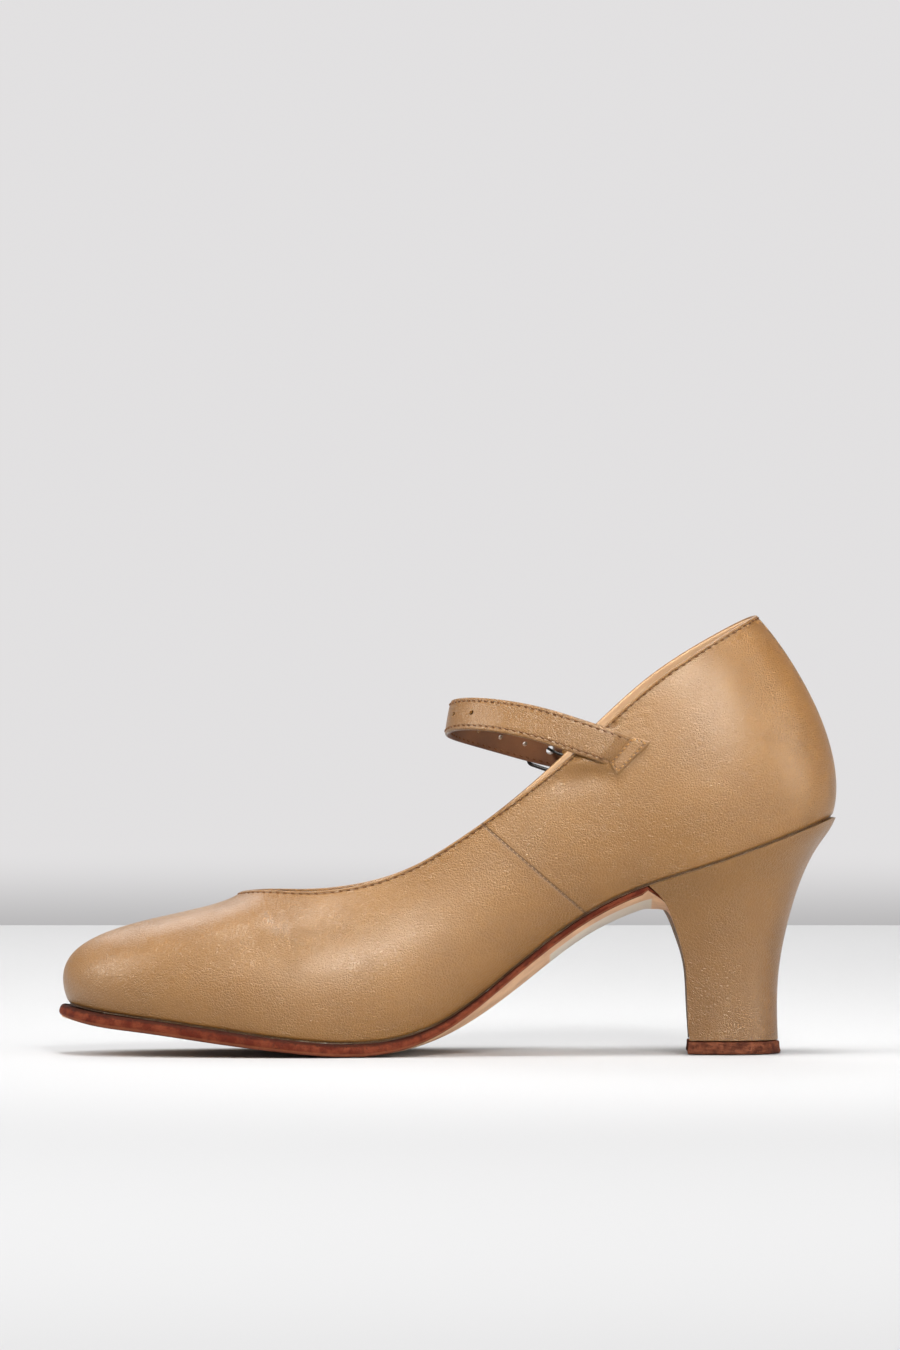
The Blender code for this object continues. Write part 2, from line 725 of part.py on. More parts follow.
def make_buckle(finish):
    """The wire frame round the strap and the prong through one of its holes."""
    middle, run, up, out, front, hinge = buckle_points()
    half = STRAP_WIDTH / 2 + 0.0004 + WIRE
    corner = 0.0014
    turn = np.linspace(0, math.pi / 2, 4)
    loop = []
    for a, b, start in ((1, 1, 0), (-1, 1, 1), (-1, -1, 2), (1, -1, 3)):
        for angle in turn + start * math.pi / 2:
            t = a * (BUCKLE_REACH - corner) + corner * math.cos(angle)
            w = b * (half - corner) + corner * math.sin(angle)
            n = (hinge + front) / 2 + (hinge - front) / 2 * t / BUCKLE_REACH
            loop.append(middle + run * t + up * w + out * n)
    tube("buckle_frame", loop, WIRE, finish, closed=True)

    reach = WIRE + GAP + PRONG_WIRE
    path = []
    for angle in np.radians(np.linspace(80, -150, 10)):
        path.append((BUCKLE_REACH + reach * math.cos(angle), hinge + reach * math.sin(angle)))
    over = front + WIRE + GAP + PRONG_WIRE
    path += [(2.4 * MM, -2.9 * MM), (0.9 * MM, -1.8 * MM), (0.2 * MM, -0.6 * MM), (-0.3 * MM, 0.9 * MM)]
    path += [(-1.5 * MM, 2.2 * MM), (-3.0 * MM, over - 0.0001), (-BUCKLE_REACH, over)]
    path += [(-BUCKLE_REACH - 0.0008, over - 0.0001)]
    tube("buckle_prong", [middle + run * t + out * n for t, n in path], PRONG_WIRE, finish, sides=6)


def make_tab(finish):
    """The loop of leather that holds the buckle to the lateral quarter, slotted for the prong."""
    middle, run, up, out, _, hinge = buckle_points()
    pin = middle + run * BUCKLE_REACH + out * hinge
    curve, length = strap_curve()
    rows = curve.at(np.linspace(length / 2, length, 400))
    slope = (rows[-1, 2] - pin[2]) / (rows[-1, 0] - pin[0])
    reach = WIRE + GAP + TAB_THICKNESS / 2
    points = [(x * MM, y * MM, pin[2] + slope * (x * MM - pin[0])) for x, y in TAB_LINE]
    for angle in np.radians(np.linspace(-120, -330, 11)):
        points.append(pin + reach * (math.cos(angle) * run + math.sin(angle) * out))
    points = np.array(points)
    line = unit(np.gradient(points, axis=0))
    quarter = np.array([0, math.sin(math.radians(7)), math.cos(math.radians(7))])
    share = np.clip(np.arange(len(points)) / (len(TAB_LINE) - 1), 0, 1)[:, None]
    tip = quarter * (1 - share) + up * share
    tip = unit(tip - (tip * line).sum(axis=1)[:, None] * line)
    frames = line, tip, np.cross(tip, line)
    rings = band_rings(points, frames, TAB_WIDTH, TAB_THICKNESS, np.ones(len(points)))
    tab = lofted("buckle_tab", rings, finish)
    slot = []
    for t in (-0.003, 0.0030):
        ring = []
        for w, n in ((-0.0009, -0.003), (0.0009, -0.003), (0.0009, 0.003), (-0.0009, 0.003)):
            ring.append(pin + run * t + up * w + out * n)
        slot.append(ring)
    boolean_cut(tab, lofted("prong_slot", slot, finish))
    return tab


def build():
    for old in list(bpy.data.objects):
        bpy.data.objects.remove(old, do_unlink=True)
    leather = material("tan_leather", TAN_LEATHER, 0.45)
    edge = material("sole_leather", EDGE_BROWN, 0.7)
    lining = material("lining", LINING_TAN, 0.8)
    metal = material("dark_metal", DARK_METAL, 0.3, 1.0)
    make_upper(leather)
    make_insole(lining)
    make_outsole(edge)
    make_heel(leather)
    make_top_lift(edge)
    make_strap(leather)
    make_patch(leather)
    make_buckle(metal)
    make_tab(leather)


build()
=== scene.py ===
"""The looks of a tan character shoe for the right foot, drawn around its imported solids.

Units are metres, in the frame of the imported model: +X is towards the toe, +Y towards the medial side, +Z up.
"""

import math

import bmesh
import bpy
import numpy as np
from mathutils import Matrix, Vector


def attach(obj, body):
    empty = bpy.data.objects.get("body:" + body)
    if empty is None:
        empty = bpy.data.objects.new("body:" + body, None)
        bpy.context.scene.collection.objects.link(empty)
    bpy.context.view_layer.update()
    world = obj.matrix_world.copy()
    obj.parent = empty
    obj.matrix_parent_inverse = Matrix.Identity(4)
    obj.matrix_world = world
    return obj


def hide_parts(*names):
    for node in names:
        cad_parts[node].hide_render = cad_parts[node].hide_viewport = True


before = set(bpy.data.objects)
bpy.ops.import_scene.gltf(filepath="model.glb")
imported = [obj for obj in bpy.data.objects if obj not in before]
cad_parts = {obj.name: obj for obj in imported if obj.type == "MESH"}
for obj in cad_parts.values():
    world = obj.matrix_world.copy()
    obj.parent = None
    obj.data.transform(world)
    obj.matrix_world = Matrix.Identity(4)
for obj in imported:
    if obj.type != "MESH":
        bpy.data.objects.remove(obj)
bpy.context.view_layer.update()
MM = 0.001

# Driving dimensions of the last and the shoe
LENGTH = 0.2425  # toe edge of the sole to the back of the heel
BALL_WIDTH = 0.0780  # feather line, across the ball
SEAT_HEIGHT = 0.0740  # floor to the feather line at the back
COLLAR_HEIGHT = 0.1369  # floor to the topline at the back
WALL = 0.0018  # leather and lining of the upper together
GAP = 0.0003  # clearance that every fitted pair keeps

# The feather line, where upper and sole meet. A row for each wall section, from the back to the toe.
# along: percent of LENGTH from the back. inner, outer: percent of BALL_WIDTH to the medial and the
# lateral side. up_inner, up_outer: percent of SEAT_HEIGHT.
FEATHER = (
    # along, inner, outer, up_inner, up_outer
    (0.6, 0.0, 0.0, 100.0, 100.0),
    (3.6, 21.5, -21.5, 96.0, 96.0),
    (9.6, 32.0, -32.2, 88.4, 87.6),
    (17.0, 34.0, -34.8, 79.8, 77.2),
    (24.0, 31.0, -33.6, 72.4, 67.4),
    (32.3, 26.5, -33.6, 59.5, 53.6),
    (41.8, 26.8, -36.6, 36.3, 32.8),
    (50.8, 33.6, -43.0, 14.6, 13.2),
    (59.9, 44.2, -49.2, 6.2, 5.9),
    (69.4, 49.0, -50.4, 7.2, 7.0),
    (79.7, 46.8, -44.8, 11.8, 11.6),
    (89.6, 38.6, -34.0, 16.3, 16.2),
    (95.6, 25.6, -19.0, 19.0, 19.0),
    (98.9, 3.0, 3.0, 21.3, 21.3),
)

# The topline, a row for each wall section, from the back to the throat. Heights are percent of COLLAR_HEIGHT.
TOPLINE = (
    # along, inner, outer, up_inner, up_outer
    (10.5, 0.0, 0.0, 100.0, 100.0),
    (12.1, 15.4, -15.4, 98.4, 98.9),
    (17.0, 26.3, -26.3, 93.1, 94.1),
    (23.6, 31.8, -31.8, 85.0, 86.4),
    (29.4, 34.1, -34.0, 76.0, 77.4),
    (36.4, 36.2, -36.5, 65.2, 65.6),
    (44.2, 36.6, -38.2, 54.9, 54.0),
    (52.1, 34.9, -38.0, 45.6, 44.6),
    (59.1, 32.8, -35.9, 40.0, 39.4),
    (65.7, 30.2, -32.0, 37.7, 37.4),
    (70.6, 26.2, -26.2, 37.5, 37.2),
    (73.9, 20.0, -17.4, 37.6, 37.3),
    (75.9, 11.1, -7.6, 37.2, 37.1),
    (76.6, 1.9, 1.9, 36.9, 36.9),
)

# How each wall section leaves the feather line and reaches the topline. lean_inner, lean_outer: degrees
# outward from upright at the feather line. fall: degrees inward from upright at the topline.
# low, high: the reach of each end of the curve, in percent of the straight distance between them.
WALL_SHAPE = (
    # lean_inner, lean_outer, fall, low, high
    (20, 20, 47, 30, 23),
    (19, 19, 36, 32, 24),
    (18, 18, 20, 35, 27),
    (20, 20, 10, 37, 30),
    (26, 24, 5, 37, 30),
    (38, 26, 3, 38, 30),
    (44, 30, 8, 38, 30),
    (38, 30, 16, 40, 30),
    (24, 22, 32, 42, 28),
    (17, 17, 46, 46, 27),
    (18, 18, 52, 46, 27),
    (21, 21, 53, 46, 27),
    (24, 24, 53, 47, 26),
    (24, 24, 53, 47, 26),
)

# Outsole: a row for each station from the waist end to the toe. along: percent of LENGTH, as above.
OUTSOLE = (
    # along, spread beyond the feather line (mm), thickness (mm), more thickness at the middle (mm)
    (24.0, 0.8, 2.2, 3.3),
    (32.3, 0.8, 2.2, 2.0),
    (41.8, 0.9, 2.3, 2.5),
    (50.8, 1.2, 2.9, 1.3),
    (59.9, 1.7, 3.9, 0.2),
    (69.4, 1.9, 3.9, 0.0),
    (79.7, 2.0, 4.2, 0.0),
    (89.6, 2.1, 4.2, 0.0),
    (95.6, 2.3, 4.2, 0.0),
    (98.9, 2.4, 3.6, 0.0),
)
# The flap that turns down over the heel's breast. width: share of the breast. The last two fill the
# corner under the waist along the middle.
FLAP = (
    # share of the way down the heel, width, forward (mm), lower (mm)
    (0.00, 0.96, 2.5, 7.0),
    (0.03, 0.93, 0.6, 6.1),
    (0.07, 0.86, -0.3, 4.8),
    (0.14, 0.75, -0.4, 2.4),
    (0.24, 0.70, 0.0, 0.3),
    (0.38, 0.70, 0.0, 0.0),
    (0.55, 0.67, 0.0, 0.0),
    (0.76, 0.64, 0.0, 0.0),
    (0.97, 0.62, 0.0, 0.0),
)
SOLE_CROWN = 0.0005  # the last's bottom is this much fuller along its middle

# Heel: a row for each level, from the seat down to the top lift. front, back: mm from the shoe's centre.
# half: half of the width at its widest, hollow: depth of the concave breast.
HEEL_LEVELS = (
    # down (percent), front, back, half, hollow (mm)
    (0, -62.2, -121.1, 28.0, 6.0),
    (4, -64.4, -119.8, 26.6, 6.0),
    (12, -67.6, -116.0, 24.0, 5.8),
    (25, -70.3, -111.1, 20.8, 5.4),
    (45, -73.2, -106.5, 17.7, 4.8),
    (70, -74.3, -103.2, 15.7, 4.2),
    (100, -75.1, -103.0, 15.2, 3.6),
)
SEAT_POINTS = 141  # points round each level of the heel, and across its breast
BREAST_POINTS = 31
LIFT_HEIGHT = 0.0039
FLAP_THICKNESS = 0.0012
INSOLE_THICKNESS = 0.0026

# Strap: its middle line, from the slit in the medial quarter round the front to its tip on the lateral
# side, in mm. lean: degrees that its upper edge tips inward.
STRAP = (
    # x, y, z, lean
    (-53.6, 29.3, 94.6, 7),
    (-47.5, 29.4, 96.9, 6),
    (-41.0, 28.8, 99.1, 8),
    (-30.0, 26.6, 102.6, 17),
    (-18.0, 22.0, 105.2, 24),
    (-9.0, 16.0, 106.1, 25),
    (-3.0, 8.6, 105.8, 19),
    (-0.6, 0.0, 104.6, 10),
    (-3.0, -9.4, 102.9, 15),
    (-9.5, -17.6, 100.7, 21),
    (-18.0, -23.9, 98.1, 24),
    (-27.0, -28.9, 95.6, 20),
    (-36.5, -33.0, 93.3, 15),
    (-43.5, -34.9, 91.7, 10),
    (-53.0, -34.5, 89.5, 8),
    (-63.0, -33.2, 87.2, 7),
)
STRAP_WIDTH = 0.0109
STRAP_THICKNESS = 0.0018
STRAP_CUT = 25  # degrees that the slit is off square to the strap
STRAP_STEP = 0.0004  # to either side, where its direction is taken
HOLES = range(-1, 8)  # its holes, counted from the prong's towards the slit
HOLE_PITCH = 0.0092
HOLE_RADIUS = 0.0008
PRONG_HOLE_RADIUS = 0.0014
# Corners of the stitched patch behind the slit: place on the loop and share of the way up the wall
PATCH = ((0.1075, 0.709), (0.1313, 0.663), (0.1332, 0.734), (0.1144, 0.775))
PATCH_THICKNESS = 0.0009

BUCKLE_X = -0.0318  # its centre on the lateral side of the strap
BUCKLE_REACH = 0.0049  # middle to each bar, along the strap
WIRE = 0.0006  # radius of the buckle's wire
PRONG_WIRE = 0.00045
PRONG_RINGS = 90
PRONG_LINE = (  # the prong from under the strap up through its hole, from the buckle's middle
    # along the strap, out of it (mm)
    (2.4, -2.9),
    (0.9, -1.8),
    (0.2, -0.6),
    (-0.3, 0.9),
    (-1.5, 2.2),
)
TAB_WIDTH = 0.0090
TAB_THICKNESS = 0.0008
TAB_LINE = (  # x, y in mm, from its stitched end towards the buckle
    (-58.5, -30.0),
    (-53.0, -29.55),
    (-47.0, -29.05),
    (-43.0, -28.85),
    (-41.2, -28.95),
)


class Curve:
    """A smooth cubic curve through rows of numbers, open or, with a period, closed into a loop."""

    def __init__(self, knots, rows, period=None):
        self.knots = np.asarray(knots, float)
        self.rows = np.asarray(rows, float)
        self.period = period
        count = len(self.knots)
        around = [] if period is None else [self.knots[0] + period]
        self.steps = np.diff(np.append(self.knots, around))
        matrix = np.eye(count)
        right = np.zeros_like(self.rows)
        for i in range(1, count - 1) if period is None else range(count):
            before, after = self.steps[i - 1], self.steps[i]
            ahead = (i + 1) % count
            matrix[i, [i - 1, i, ahead]] = before, 2 * (before + after), after
            rise = (self.rows[ahead] - self.rows[i]) / after
            fall = (self.rows[i] - self.rows[i - 1]) / before
            right[i] = 6 * (rise - fall)
        self.bends = np.linalg.solve(matrix, right)

    def at(self, where):
        """The row at each parameter."""
        where = np.atleast_1d(np.asarray(where, float))
        if self.period is not None:
            where = self.knots[0] + (where - self.knots[0]) % self.period
        low = np.clip(np.searchsorted(self.knots, where, "right") - 1, 0, len(self.steps) - 1)
        high = (low + 1) % len(self.knots)
        step = self.steps[low][:, None]
        b = (where - self.knots[low])[:, None] / step
        a = 1 - b
        straight = a * self.rows[low] + b * self.rows[high]
        bend = (a**3 - a) * self.bends[low] + (b**3 - b) * self.bends[high]
        return straight + bend * step**2 / 6


def station_knots():
    """Places of the wall sections on the loop: 0 at the back, 0.5 at the toe, by the length between them."""
    table = np.array(FEATHER)
    along = table[:, 0] / 100 * LENGTH
    reach = []
    for column in (1, 2):
        side = table[:, column] / 100 * BALL_WIDTH
        reach.append(np.hypot(np.diff(along), np.diff(side)))
    total = np.concatenate([[0], np.cumsum(sum(reach))])
    return total / total[-1] / 2


STATIONS = station_knots()


def loop_of(inner, outer):
    """A loop curve from rows of the medial side, back to toe, and of the lateral side."""
    knots = np.concatenate([STATIONS, 1 - STATIONS[-2:0:-1]])
    return Curve(knots, np.concatenate([inner, outer[-2:0:-1]]), period=1.0)


def ring_of(table, height):
    """The loop curve of a feather or topline table, in metres."""
    rows = np.array(table) / 100
    along = (rows[:, 0] - 0.5) * LENGTH
    sides = []
    for side, up in ((1, 3), (2, 4)):
        sides.append(np.stack([along, rows[:, side] * BALL_WIDTH, rows[:, up] * height], axis=1))
    return loop_of(*sides)


def wall_shape_ring():
    """The loop curve of lean, fall, low and high."""
    rows = np.array(WALL_SHAPE, float)
    return loop_of(rows[:, [0, 2, 3, 4]], rows[:, [1, 2, 3, 4]])


FEATHER_RING = ring_of(FEATHER, SEAT_HEIGHT)
TOPLINE_RING = ring_of(TOPLINE, COLLAR_HEIGHT)
SHAPE_RING = wall_shape_ring()


def outward(ring, q):
    """Level unit vectors that point out of a ring."""
    step = 1e-4
    run = ring.at(q + step) - ring.at(q - step)
    out = np.stack([-run[:, 1], run[:, 0], np.zeros(len(run))], axis=1)
    return out / np.linalg.norm(out, axis=1)[:, None]


def wall(q, v):
    """Points of the upper's outer face. q runs round the shoe and v from feather line to topline."""
    q, v = np.broadcast_arrays(np.atleast_1d(q), v)
    foot, top = FEATHER_RING.at(q), TOPLINE_RING.at(q)
    lean, fall, low, high = SHAPE_RING.at(q).T
    lean, fall = np.radians(lean)[:, None], np.radians(fall)[:, None]
    reach = np.linalg.norm(top - foot, axis=1)
    upright = np.array([[0, 0, 1.0]])
    leave = np.sin(lean) * outward(FEATHER_RING, q) + np.cos(lean) * upright
    arrive = -np.sin(fall) * outward(TOPLINE_RING, q) + np.cos(fall) * upright
    first = foot + leave * (reach * low / 100)[:, None]
    second = top - arrive * (reach * high / 100)[:, None]
    b = v[:, None]
    a = 1 - b
    return a**3 * foot + 3 * a * a * b * first + 3 * a * b * b * second + b**3 * top


def q_at(along):
    """The place on the loop's medial half where the feather line is that percent along."""
    places = np.linspace(0, 0.5, 400)
    run = (FEATHER_RING.at(places)[:, 0] / LENGTH + 0.5) * 100
    return np.interp(along, run, places)


def edge_point(q, spread):
    """The feather line moved out by spread, in plan."""
    q = np.atleast_1d(q)
    return FEATHER_RING.at(q) + outward(FEATHER_RING, q) * np.reshape(spread, (-1, 1))


def crown_at(x):
    """How much fuller the last's bottom is along its middle: nothing at the heel seat."""
    share = np.clip(((x / LENGTH + 0.5) * 100 - 26) / 22, 0, 1)
    return SOLE_CROWN * share * share * (3 - 2 * share)


def ladder(q, spread, share):
    """Points of the last's bottom between its medial and lateral edges. share is 0 medial, 1 lateral."""
    inner = edge_point(q, spread)[:, None]
    outer = edge_point(1 - q, spread)[:, None]
    rows = inner * (1 - share)[None, :, None] + outer * share[None, :, None]
    rows[:, :, 2] -= crown_at(rows[:, :, 0]) * (4 * share * (1 - share))[None]
    return rows


def bed_height(x, y):
    """Height of the heel seat, straight across between the two feather lines."""
    q = q_at((x / LENGTH + 0.5) * 100)
    inner, outer = FEATHER_RING.at(q), FEATHER_RING.at(1 - q)
    width = np.maximum(inner[:, 1] - outer[:, 1], 2 * MM)
    share = np.clip((inner[:, 1] - y) / width, 0, 1)
    return inner[:, 2] * (1 - share) + outer[:, 2] * share


def heel_section(down):
    """Front, back, half width and hollow of the heel at a share of the way down, in metres."""
    table = np.array(HEEL_LEVELS, float)
    return Curve(table[:, 0] / 100, table[:, 1:] * MM).at(down)[0]


HEEL_FRONT_Q = float(q_at(100 * (0.5 + HEEL_LEVELS[0][1] * MM / LENGTH)))


def seat_outline(count):
    """The seat's outline from its medial front corner round the back to the lateral one, each as a
    share of its length and half width."""
    q = np.linspace(HEEL_FRONT_Q, -HEEL_FRONT_Q, count)
    line = FEATHER_RING.at(q)
    front, back = line[[0, -1], 0].mean(), line[:, 0].min()
    return (line[:, 0] - back) / (front - back), line[:, 1] / np.abs(line[:, 1]).max()


def heel_ring(down, outline, breast):
    """One level of the heel: the seat's outline drawn in to its front, back and width, and its breast."""
    share, side = outline
    levels = []
    for level in (0.0, down):
        front, back, half, hollow = heel_section(level)
        rim = np.stack([back + share * (front - back), side * half], axis=1)
        t = np.linspace(0, 1, breast + 2)[1:-1]
        line = rim[-1] * (1 - t)[:, None] + rim[0] * t[:, None]
        line[:, 0] -= hollow * 4 * t * (1 - t)
        levels.append(np.concatenate([rim, line]))
    seat, plan = levels
    height = bed_height(seat[:, 0], seat[:, 1]) - GAP
    z = height + (LIFT_HEIGHT + GAP - height) * down
    return np.column_stack([plan, z])


def breast_rows(downs, shares, width, clear):
    """Rows across the heel's breast, moved forward by clear. width: how much of the breast they cover."""
    rows = []
    for down, part in zip(downs, width):
        ring = heel_ring(down, seat_outline(3), 39)
        whole = np.concatenate([ring[2:], ring[:1]])[::-1]
        t = 0.5 + (shares - 0.5) * part
        line = Curve(np.linspace(0, 1, len(whole)), whole).at(t)
        drop = bed_height(line[:, 0], line[:, 1]) - bed_height(line[:, 0] + clear, line[:, 1])
        line[:, 0] += clear
        line[:, 2] -= drop * (1 - down)
        rows.append(line)
    return np.array(rows)


def sole_down(path):
    """Unit vectors that point down out of the sole along its middle line, which runs from the toe back."""
    run = np.gradient(path[:, [0, 2]], axis=0)
    down = np.stack([-run[:, 1], np.zeros(len(run)), run[:, 0]], axis=1)
    return down / np.linalg.norm(down, axis=1)[:, None]


def unit(rows):
    return rows / np.linalg.norm(rows, axis=-1, keepdims=True)


def square_to(run, rows):
    """Unit vectors square to run, as near to rows as they can be."""
    return unit(rows - (rows * run).sum(axis=1)[:, None] * run)


def run_along(points):
    """The length along a line of points, up to each of them."""
    return np.concatenate([[0], np.cumsum(np.linalg.norm(np.diff(points, axis=0), axis=1))])


def band_frames(run, lean):
    """Directions along, up the width of, and out of a band that runs along run."""
    run = unit(run)
    out = unit(np.cross([0, 0, 1.0], run))
    up = np.cos(lean)[:, None] * np.array([0, 0, 1.0]) - np.sin(lean)[:, None] * out
    up = square_to(run, up)
    return run, up, np.cross(up, run)


def strap_curve():
    """The strap's middle line and lean as a curve by its length in metres."""
    table = np.array(STRAP, float) * [MM, MM, MM, math.pi / 180]
    run = run_along(table[:, :3])
    return Curve(run, table), run[-1]


def strap_at(place):
    """The strap's middle and its directions along, up and out at one place."""
    curve, _ = strap_curve()
    rows = curve.at(place + np.array([-STRAP_STEP, 0, STRAP_STEP]))
    run, up, out = band_frames(np.gradient(rows[:, :3], axis=0), rows[:, 3])
    return rows[1, :3], run[1], up[1], out[1]


def buckle_place():
    """Where the middle of the buckle is, by length along the strap."""
    curve, length = strap_curve()
    places = np.linspace(length / 2, length, 800)
    return float(places[np.abs(curve.at(places)[:, 0] - BUCKLE_X).argmin()])


def buckle_points():
    """The buckle's middle and directions, and how far out its front bar and its hinge bar stand."""
    middle, run, up, out = strap_at(buckle_place())
    front = STRAP_THICKNESS / 2 + GAP + WIRE
    hinge = -(STRAP_THICKNESS / 2 + 2 * GAP + TAB_THICKNESS + WIRE)
    return middle, run, up, out, front, hinge


# The upper's fine mesh
PLACES = 600  # columns round the shoe
WALL_ROWS = 64  # rows up the outer face, apart from those close to its two edges
LINING_ROWS = 26
TOP_ROWS = np.array([0.75, 0.95, 1.15, 1.35, 1.55, 1.8, 2.15, 2.6]) * MM  # below the topline
FOOT_ROWS = np.array([1.5, 1.0, 0.6, 0.3, 0.0]) * MM  # above the feather line
FOLD = (  # the rounded fold of the leather and, behind it, the lining's cut edge
    # down from the topline, in from the outer face (mm)
    (0.50, 0.05),
    (0.24, 0.18),
    (0.07, 0.38),
    (0.00, 0.62),
    (0.07, 0.86),
    (0.26, 1.02),
    (0.44, 1.10),
    (0.34, 1.17),
    (0.26, 1.32),
    (0.29, 1.56),
    (0.44, 1.73),
    (0.75, 1.80),
)
FOLD_LEATHER = 7  # how many rows of the fold are leather, the rest lining
FOLD_RISE = 0.22 * MM  # how much the folded edge stands out
STITCH_INSET = 1.35 * MM  # the topline's stitches, below the topline
FOOT_TUCK = 0.4 * MM  # how far the wall draws in where it meets the sole
MARGIN = (  # the leather's edge, turned under the insole
    # in from the feather line, up (mm)
    (4.5, 0.12),
    (4.5, -0.24),
    (1.8, -0.26),
    (0.4, -0.22),
)

# Seams and creases of the upper, in mm, in the plane of the side view
SIDE_SEAM = ((-11.4, 71.3), (-43.6, 43.4))
BACK_SEAM_FRONT = -85
CREASES = (  # soft ridges and troughs, each along a line. side: 1 medial, -1 lateral
    # side, x0, z0, x1, z1, width, height (mm)
    (1, 57.0, 46.6, 54.0, 42.2, 0.9, -0.13),
    (1, 58.0, 41.6, 54.6, 38.4, 3.6, 0.24),
    (1, 61.0, 34.4, 53.0, 32.4, 4.2, -0.20),
    (1, 51.0, 42.0, 47.5, 36.5, 3.4, -0.10),
    (1, -48.5, 91.0, -38.0, 91.8, 2.4, 1.50),
    (1, -49.5, 86.8, -35.0, 85.0, 3.4, -0.60),
    (1, -51.5, 102.6, -60.5, 105.4, 0.9, -0.30),
    (1, -52.5, 100.8, -61.5, 102.4, 0.8, -0.26),
    (1, -55.0, 106.2, -63.0, 108.8, 0.8, -0.22),
    (-1, 58.0, 45.5, 53.5, 39.0, 3.0, 0.40),
    (-1, 62.0, 34.0, 50.0, 32.0, 3.0, -0.38),
    (-1, 47.5, 41.0, 43.0, 34.0, 2.4, -0.20),
    (-1, -58.0, 90.5, -48.0, 87.0, 3.0, -0.45),
)
WAVES = (  # slow unevenness of the leather. length in mm, direction in x and z, height in mm
    # length, x, z, start, height
    (46.0, 0.8, 0.6, 0.4, 0.05),
    (31.0, -0.5, 0.9, 1.9, 0.03),
    (19.0, 0.9, -0.4, 3.1, 0.012),
)

# Stitches: pitch, length, thickness and slant of the thread
TOP_STITCH = (2.55 * MM, 1.55 * MM, 0.30 * MM, 0.30)
STRAP_STITCH = (2.4 * MM, 1.5 * MM, 0.27 * MM, 0.20)
PATCH_STITCH = (1.7 * MM, 1.1 * MM, 0.20 * MM, 0.15)
SEAM_STITCH = (1.55 * MM, 0.70 * MM, 0.15 * MM, 0.0)
STITCH_SIDES = 8
STITCH_SINK = 0.06 * MM  # how deep the thread lies in the leather
STRAP_STITCH_INSET = 1.3 * MM  # the strap's rows, in from its edges
PATCH_STITCH_INSET = 0.85 * MM  # the patch's box, in from its rim

HOLE_CELLS = 20  # columns of the strap's mesh from one hole to the next
STRAP_CELLS = 24  # and across its width
STRAP_TUCK = 0.3 * MM  # how far the strap's fixed end runs in under the patch
STRAP_DIVE = 2.3 * MM  # how far that end sinks into the slit
PATCH_REACH = 0.42  # how far the patch reaches over the strap's end, as a share of its width


def grid_faces(rows, columns, wrap_rows=False, wrap_columns=False):
    """Quads between the points of a grid, stored row after row."""
    i = np.arange(rows if wrap_rows else rows - 1)[:, None]
    j = np.arange(columns if wrap_columns else columns - 1)[None]
    a, b = i * columns, (i + 1) % rows * columns
    c = (j + 1) % columns
    return np.stack([a + j, a + c, b + c, b + j], axis=-1).reshape(-1, 4)


def placed(name, data):
    """A new object of the scene."""
    made = bpy.data.objects.new(name, data)
    bpy.context.scene.collection.objects.link(made)
    return made


def turn_to(thing, aim):
    """Turns a camera or a lamp towards a point."""
    thing.rotation_euler = (Vector(aim) - thing.location).to_track_quat("-Z", "Y").to_euler()


def add_piece(name, points, faces, finishes, stands_for=(), face_finish=None, marks=None, sharp=40):
    """A closed piece on the shoe. marks: named distances in mm, one for each point."""
    mesh = bpy.data.meshes.new(name)
    mesh.from_pydata(np.asarray(points).tolist(), [], [list(map(int, f)) for f in faces])
    for finish in finishes:
        mesh.materials.append(finish)
    if face_finish is not None:
        mesh.polygons.foreach_set("material_index", np.asarray(face_finish, dtype=np.int32))
    for mark, values in (marks or {}).items():
        layer = mesh.attributes.new(mark, "FLOAT", "POINT")
        layer.data.foreach_set("value", np.asarray(values, dtype=np.float32).ravel())
    shape = bmesh.new()
    shape.from_mesh(mesh)
    bmesh.ops.recalc_face_normals(shape, faces=shape.faces)
    shape.to_mesh(mesh)
    shape.free()
    mesh.shade_smooth()
    mesh.set_sharp_from_angle(angle=math.radians(sharp))
    piece = placed(name, mesh)
    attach(piece, "root")
    if stands_for:
        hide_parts(*stands_for)


def wall_normal(q, v):
    """Outward unit normals of the upper's outer face."""
    step = 1e-4
    across = wall(q + step, v) - wall(q - step, v)
    up = wall(q, np.clip(v + step, 0, 1)) - wall(q, np.clip(v - step, 0, 1))
    return unit(np.cross(up, across))


def depth_levels(q, depths):
    """Shares of the way up the wall that lie at these distances below the topline, a row for each q."""
    steps = 121
    v = np.linspace(0, 1, steps)
    line = wall(np.repeat(q, steps), np.tile(v, len(q))).reshape(len(q), steps, 3)
    run = np.linalg.norm(np.diff(line, axis=1), axis=2)
    below = np.concatenate([np.cumsum(run[:, ::-1], axis=1)[:, ::-1], np.zeros((len(q), 1))], axis=1)
    levels = np.empty((len(q), depths(0, below[0, 0]).size))
    for k in range(len(q)):
        levels[k] = np.interp(depths(q[k], below[k, 0]), below[k, ::-1], v[::-1])
    return levels, below[:, 0]


def line_distance(x, z, ends):
    """Distance in mm to a line's stretch in the side view, and signed distance to the whole line."""
    (x0, z0), (x1, z1) = ends
    dx, dz = x1 - x0, z1 - z0
    long = math.hypot(dx, dz)
    along = np.clip(((x - x0) * dx + (z - z0) * dz) / long**2, 0, 1)
    near = np.hypot(x - x0 - along * dx, z - z0 - along * dz)
    return near, ((x - x0) * dz - (z - z0) * dx) / long


def back_seam(x, y):
    """Signed distance in mm to the back seam, and far away before the heel."""
    return np.where(x < BACK_SEAM_FRONT, y, 99)


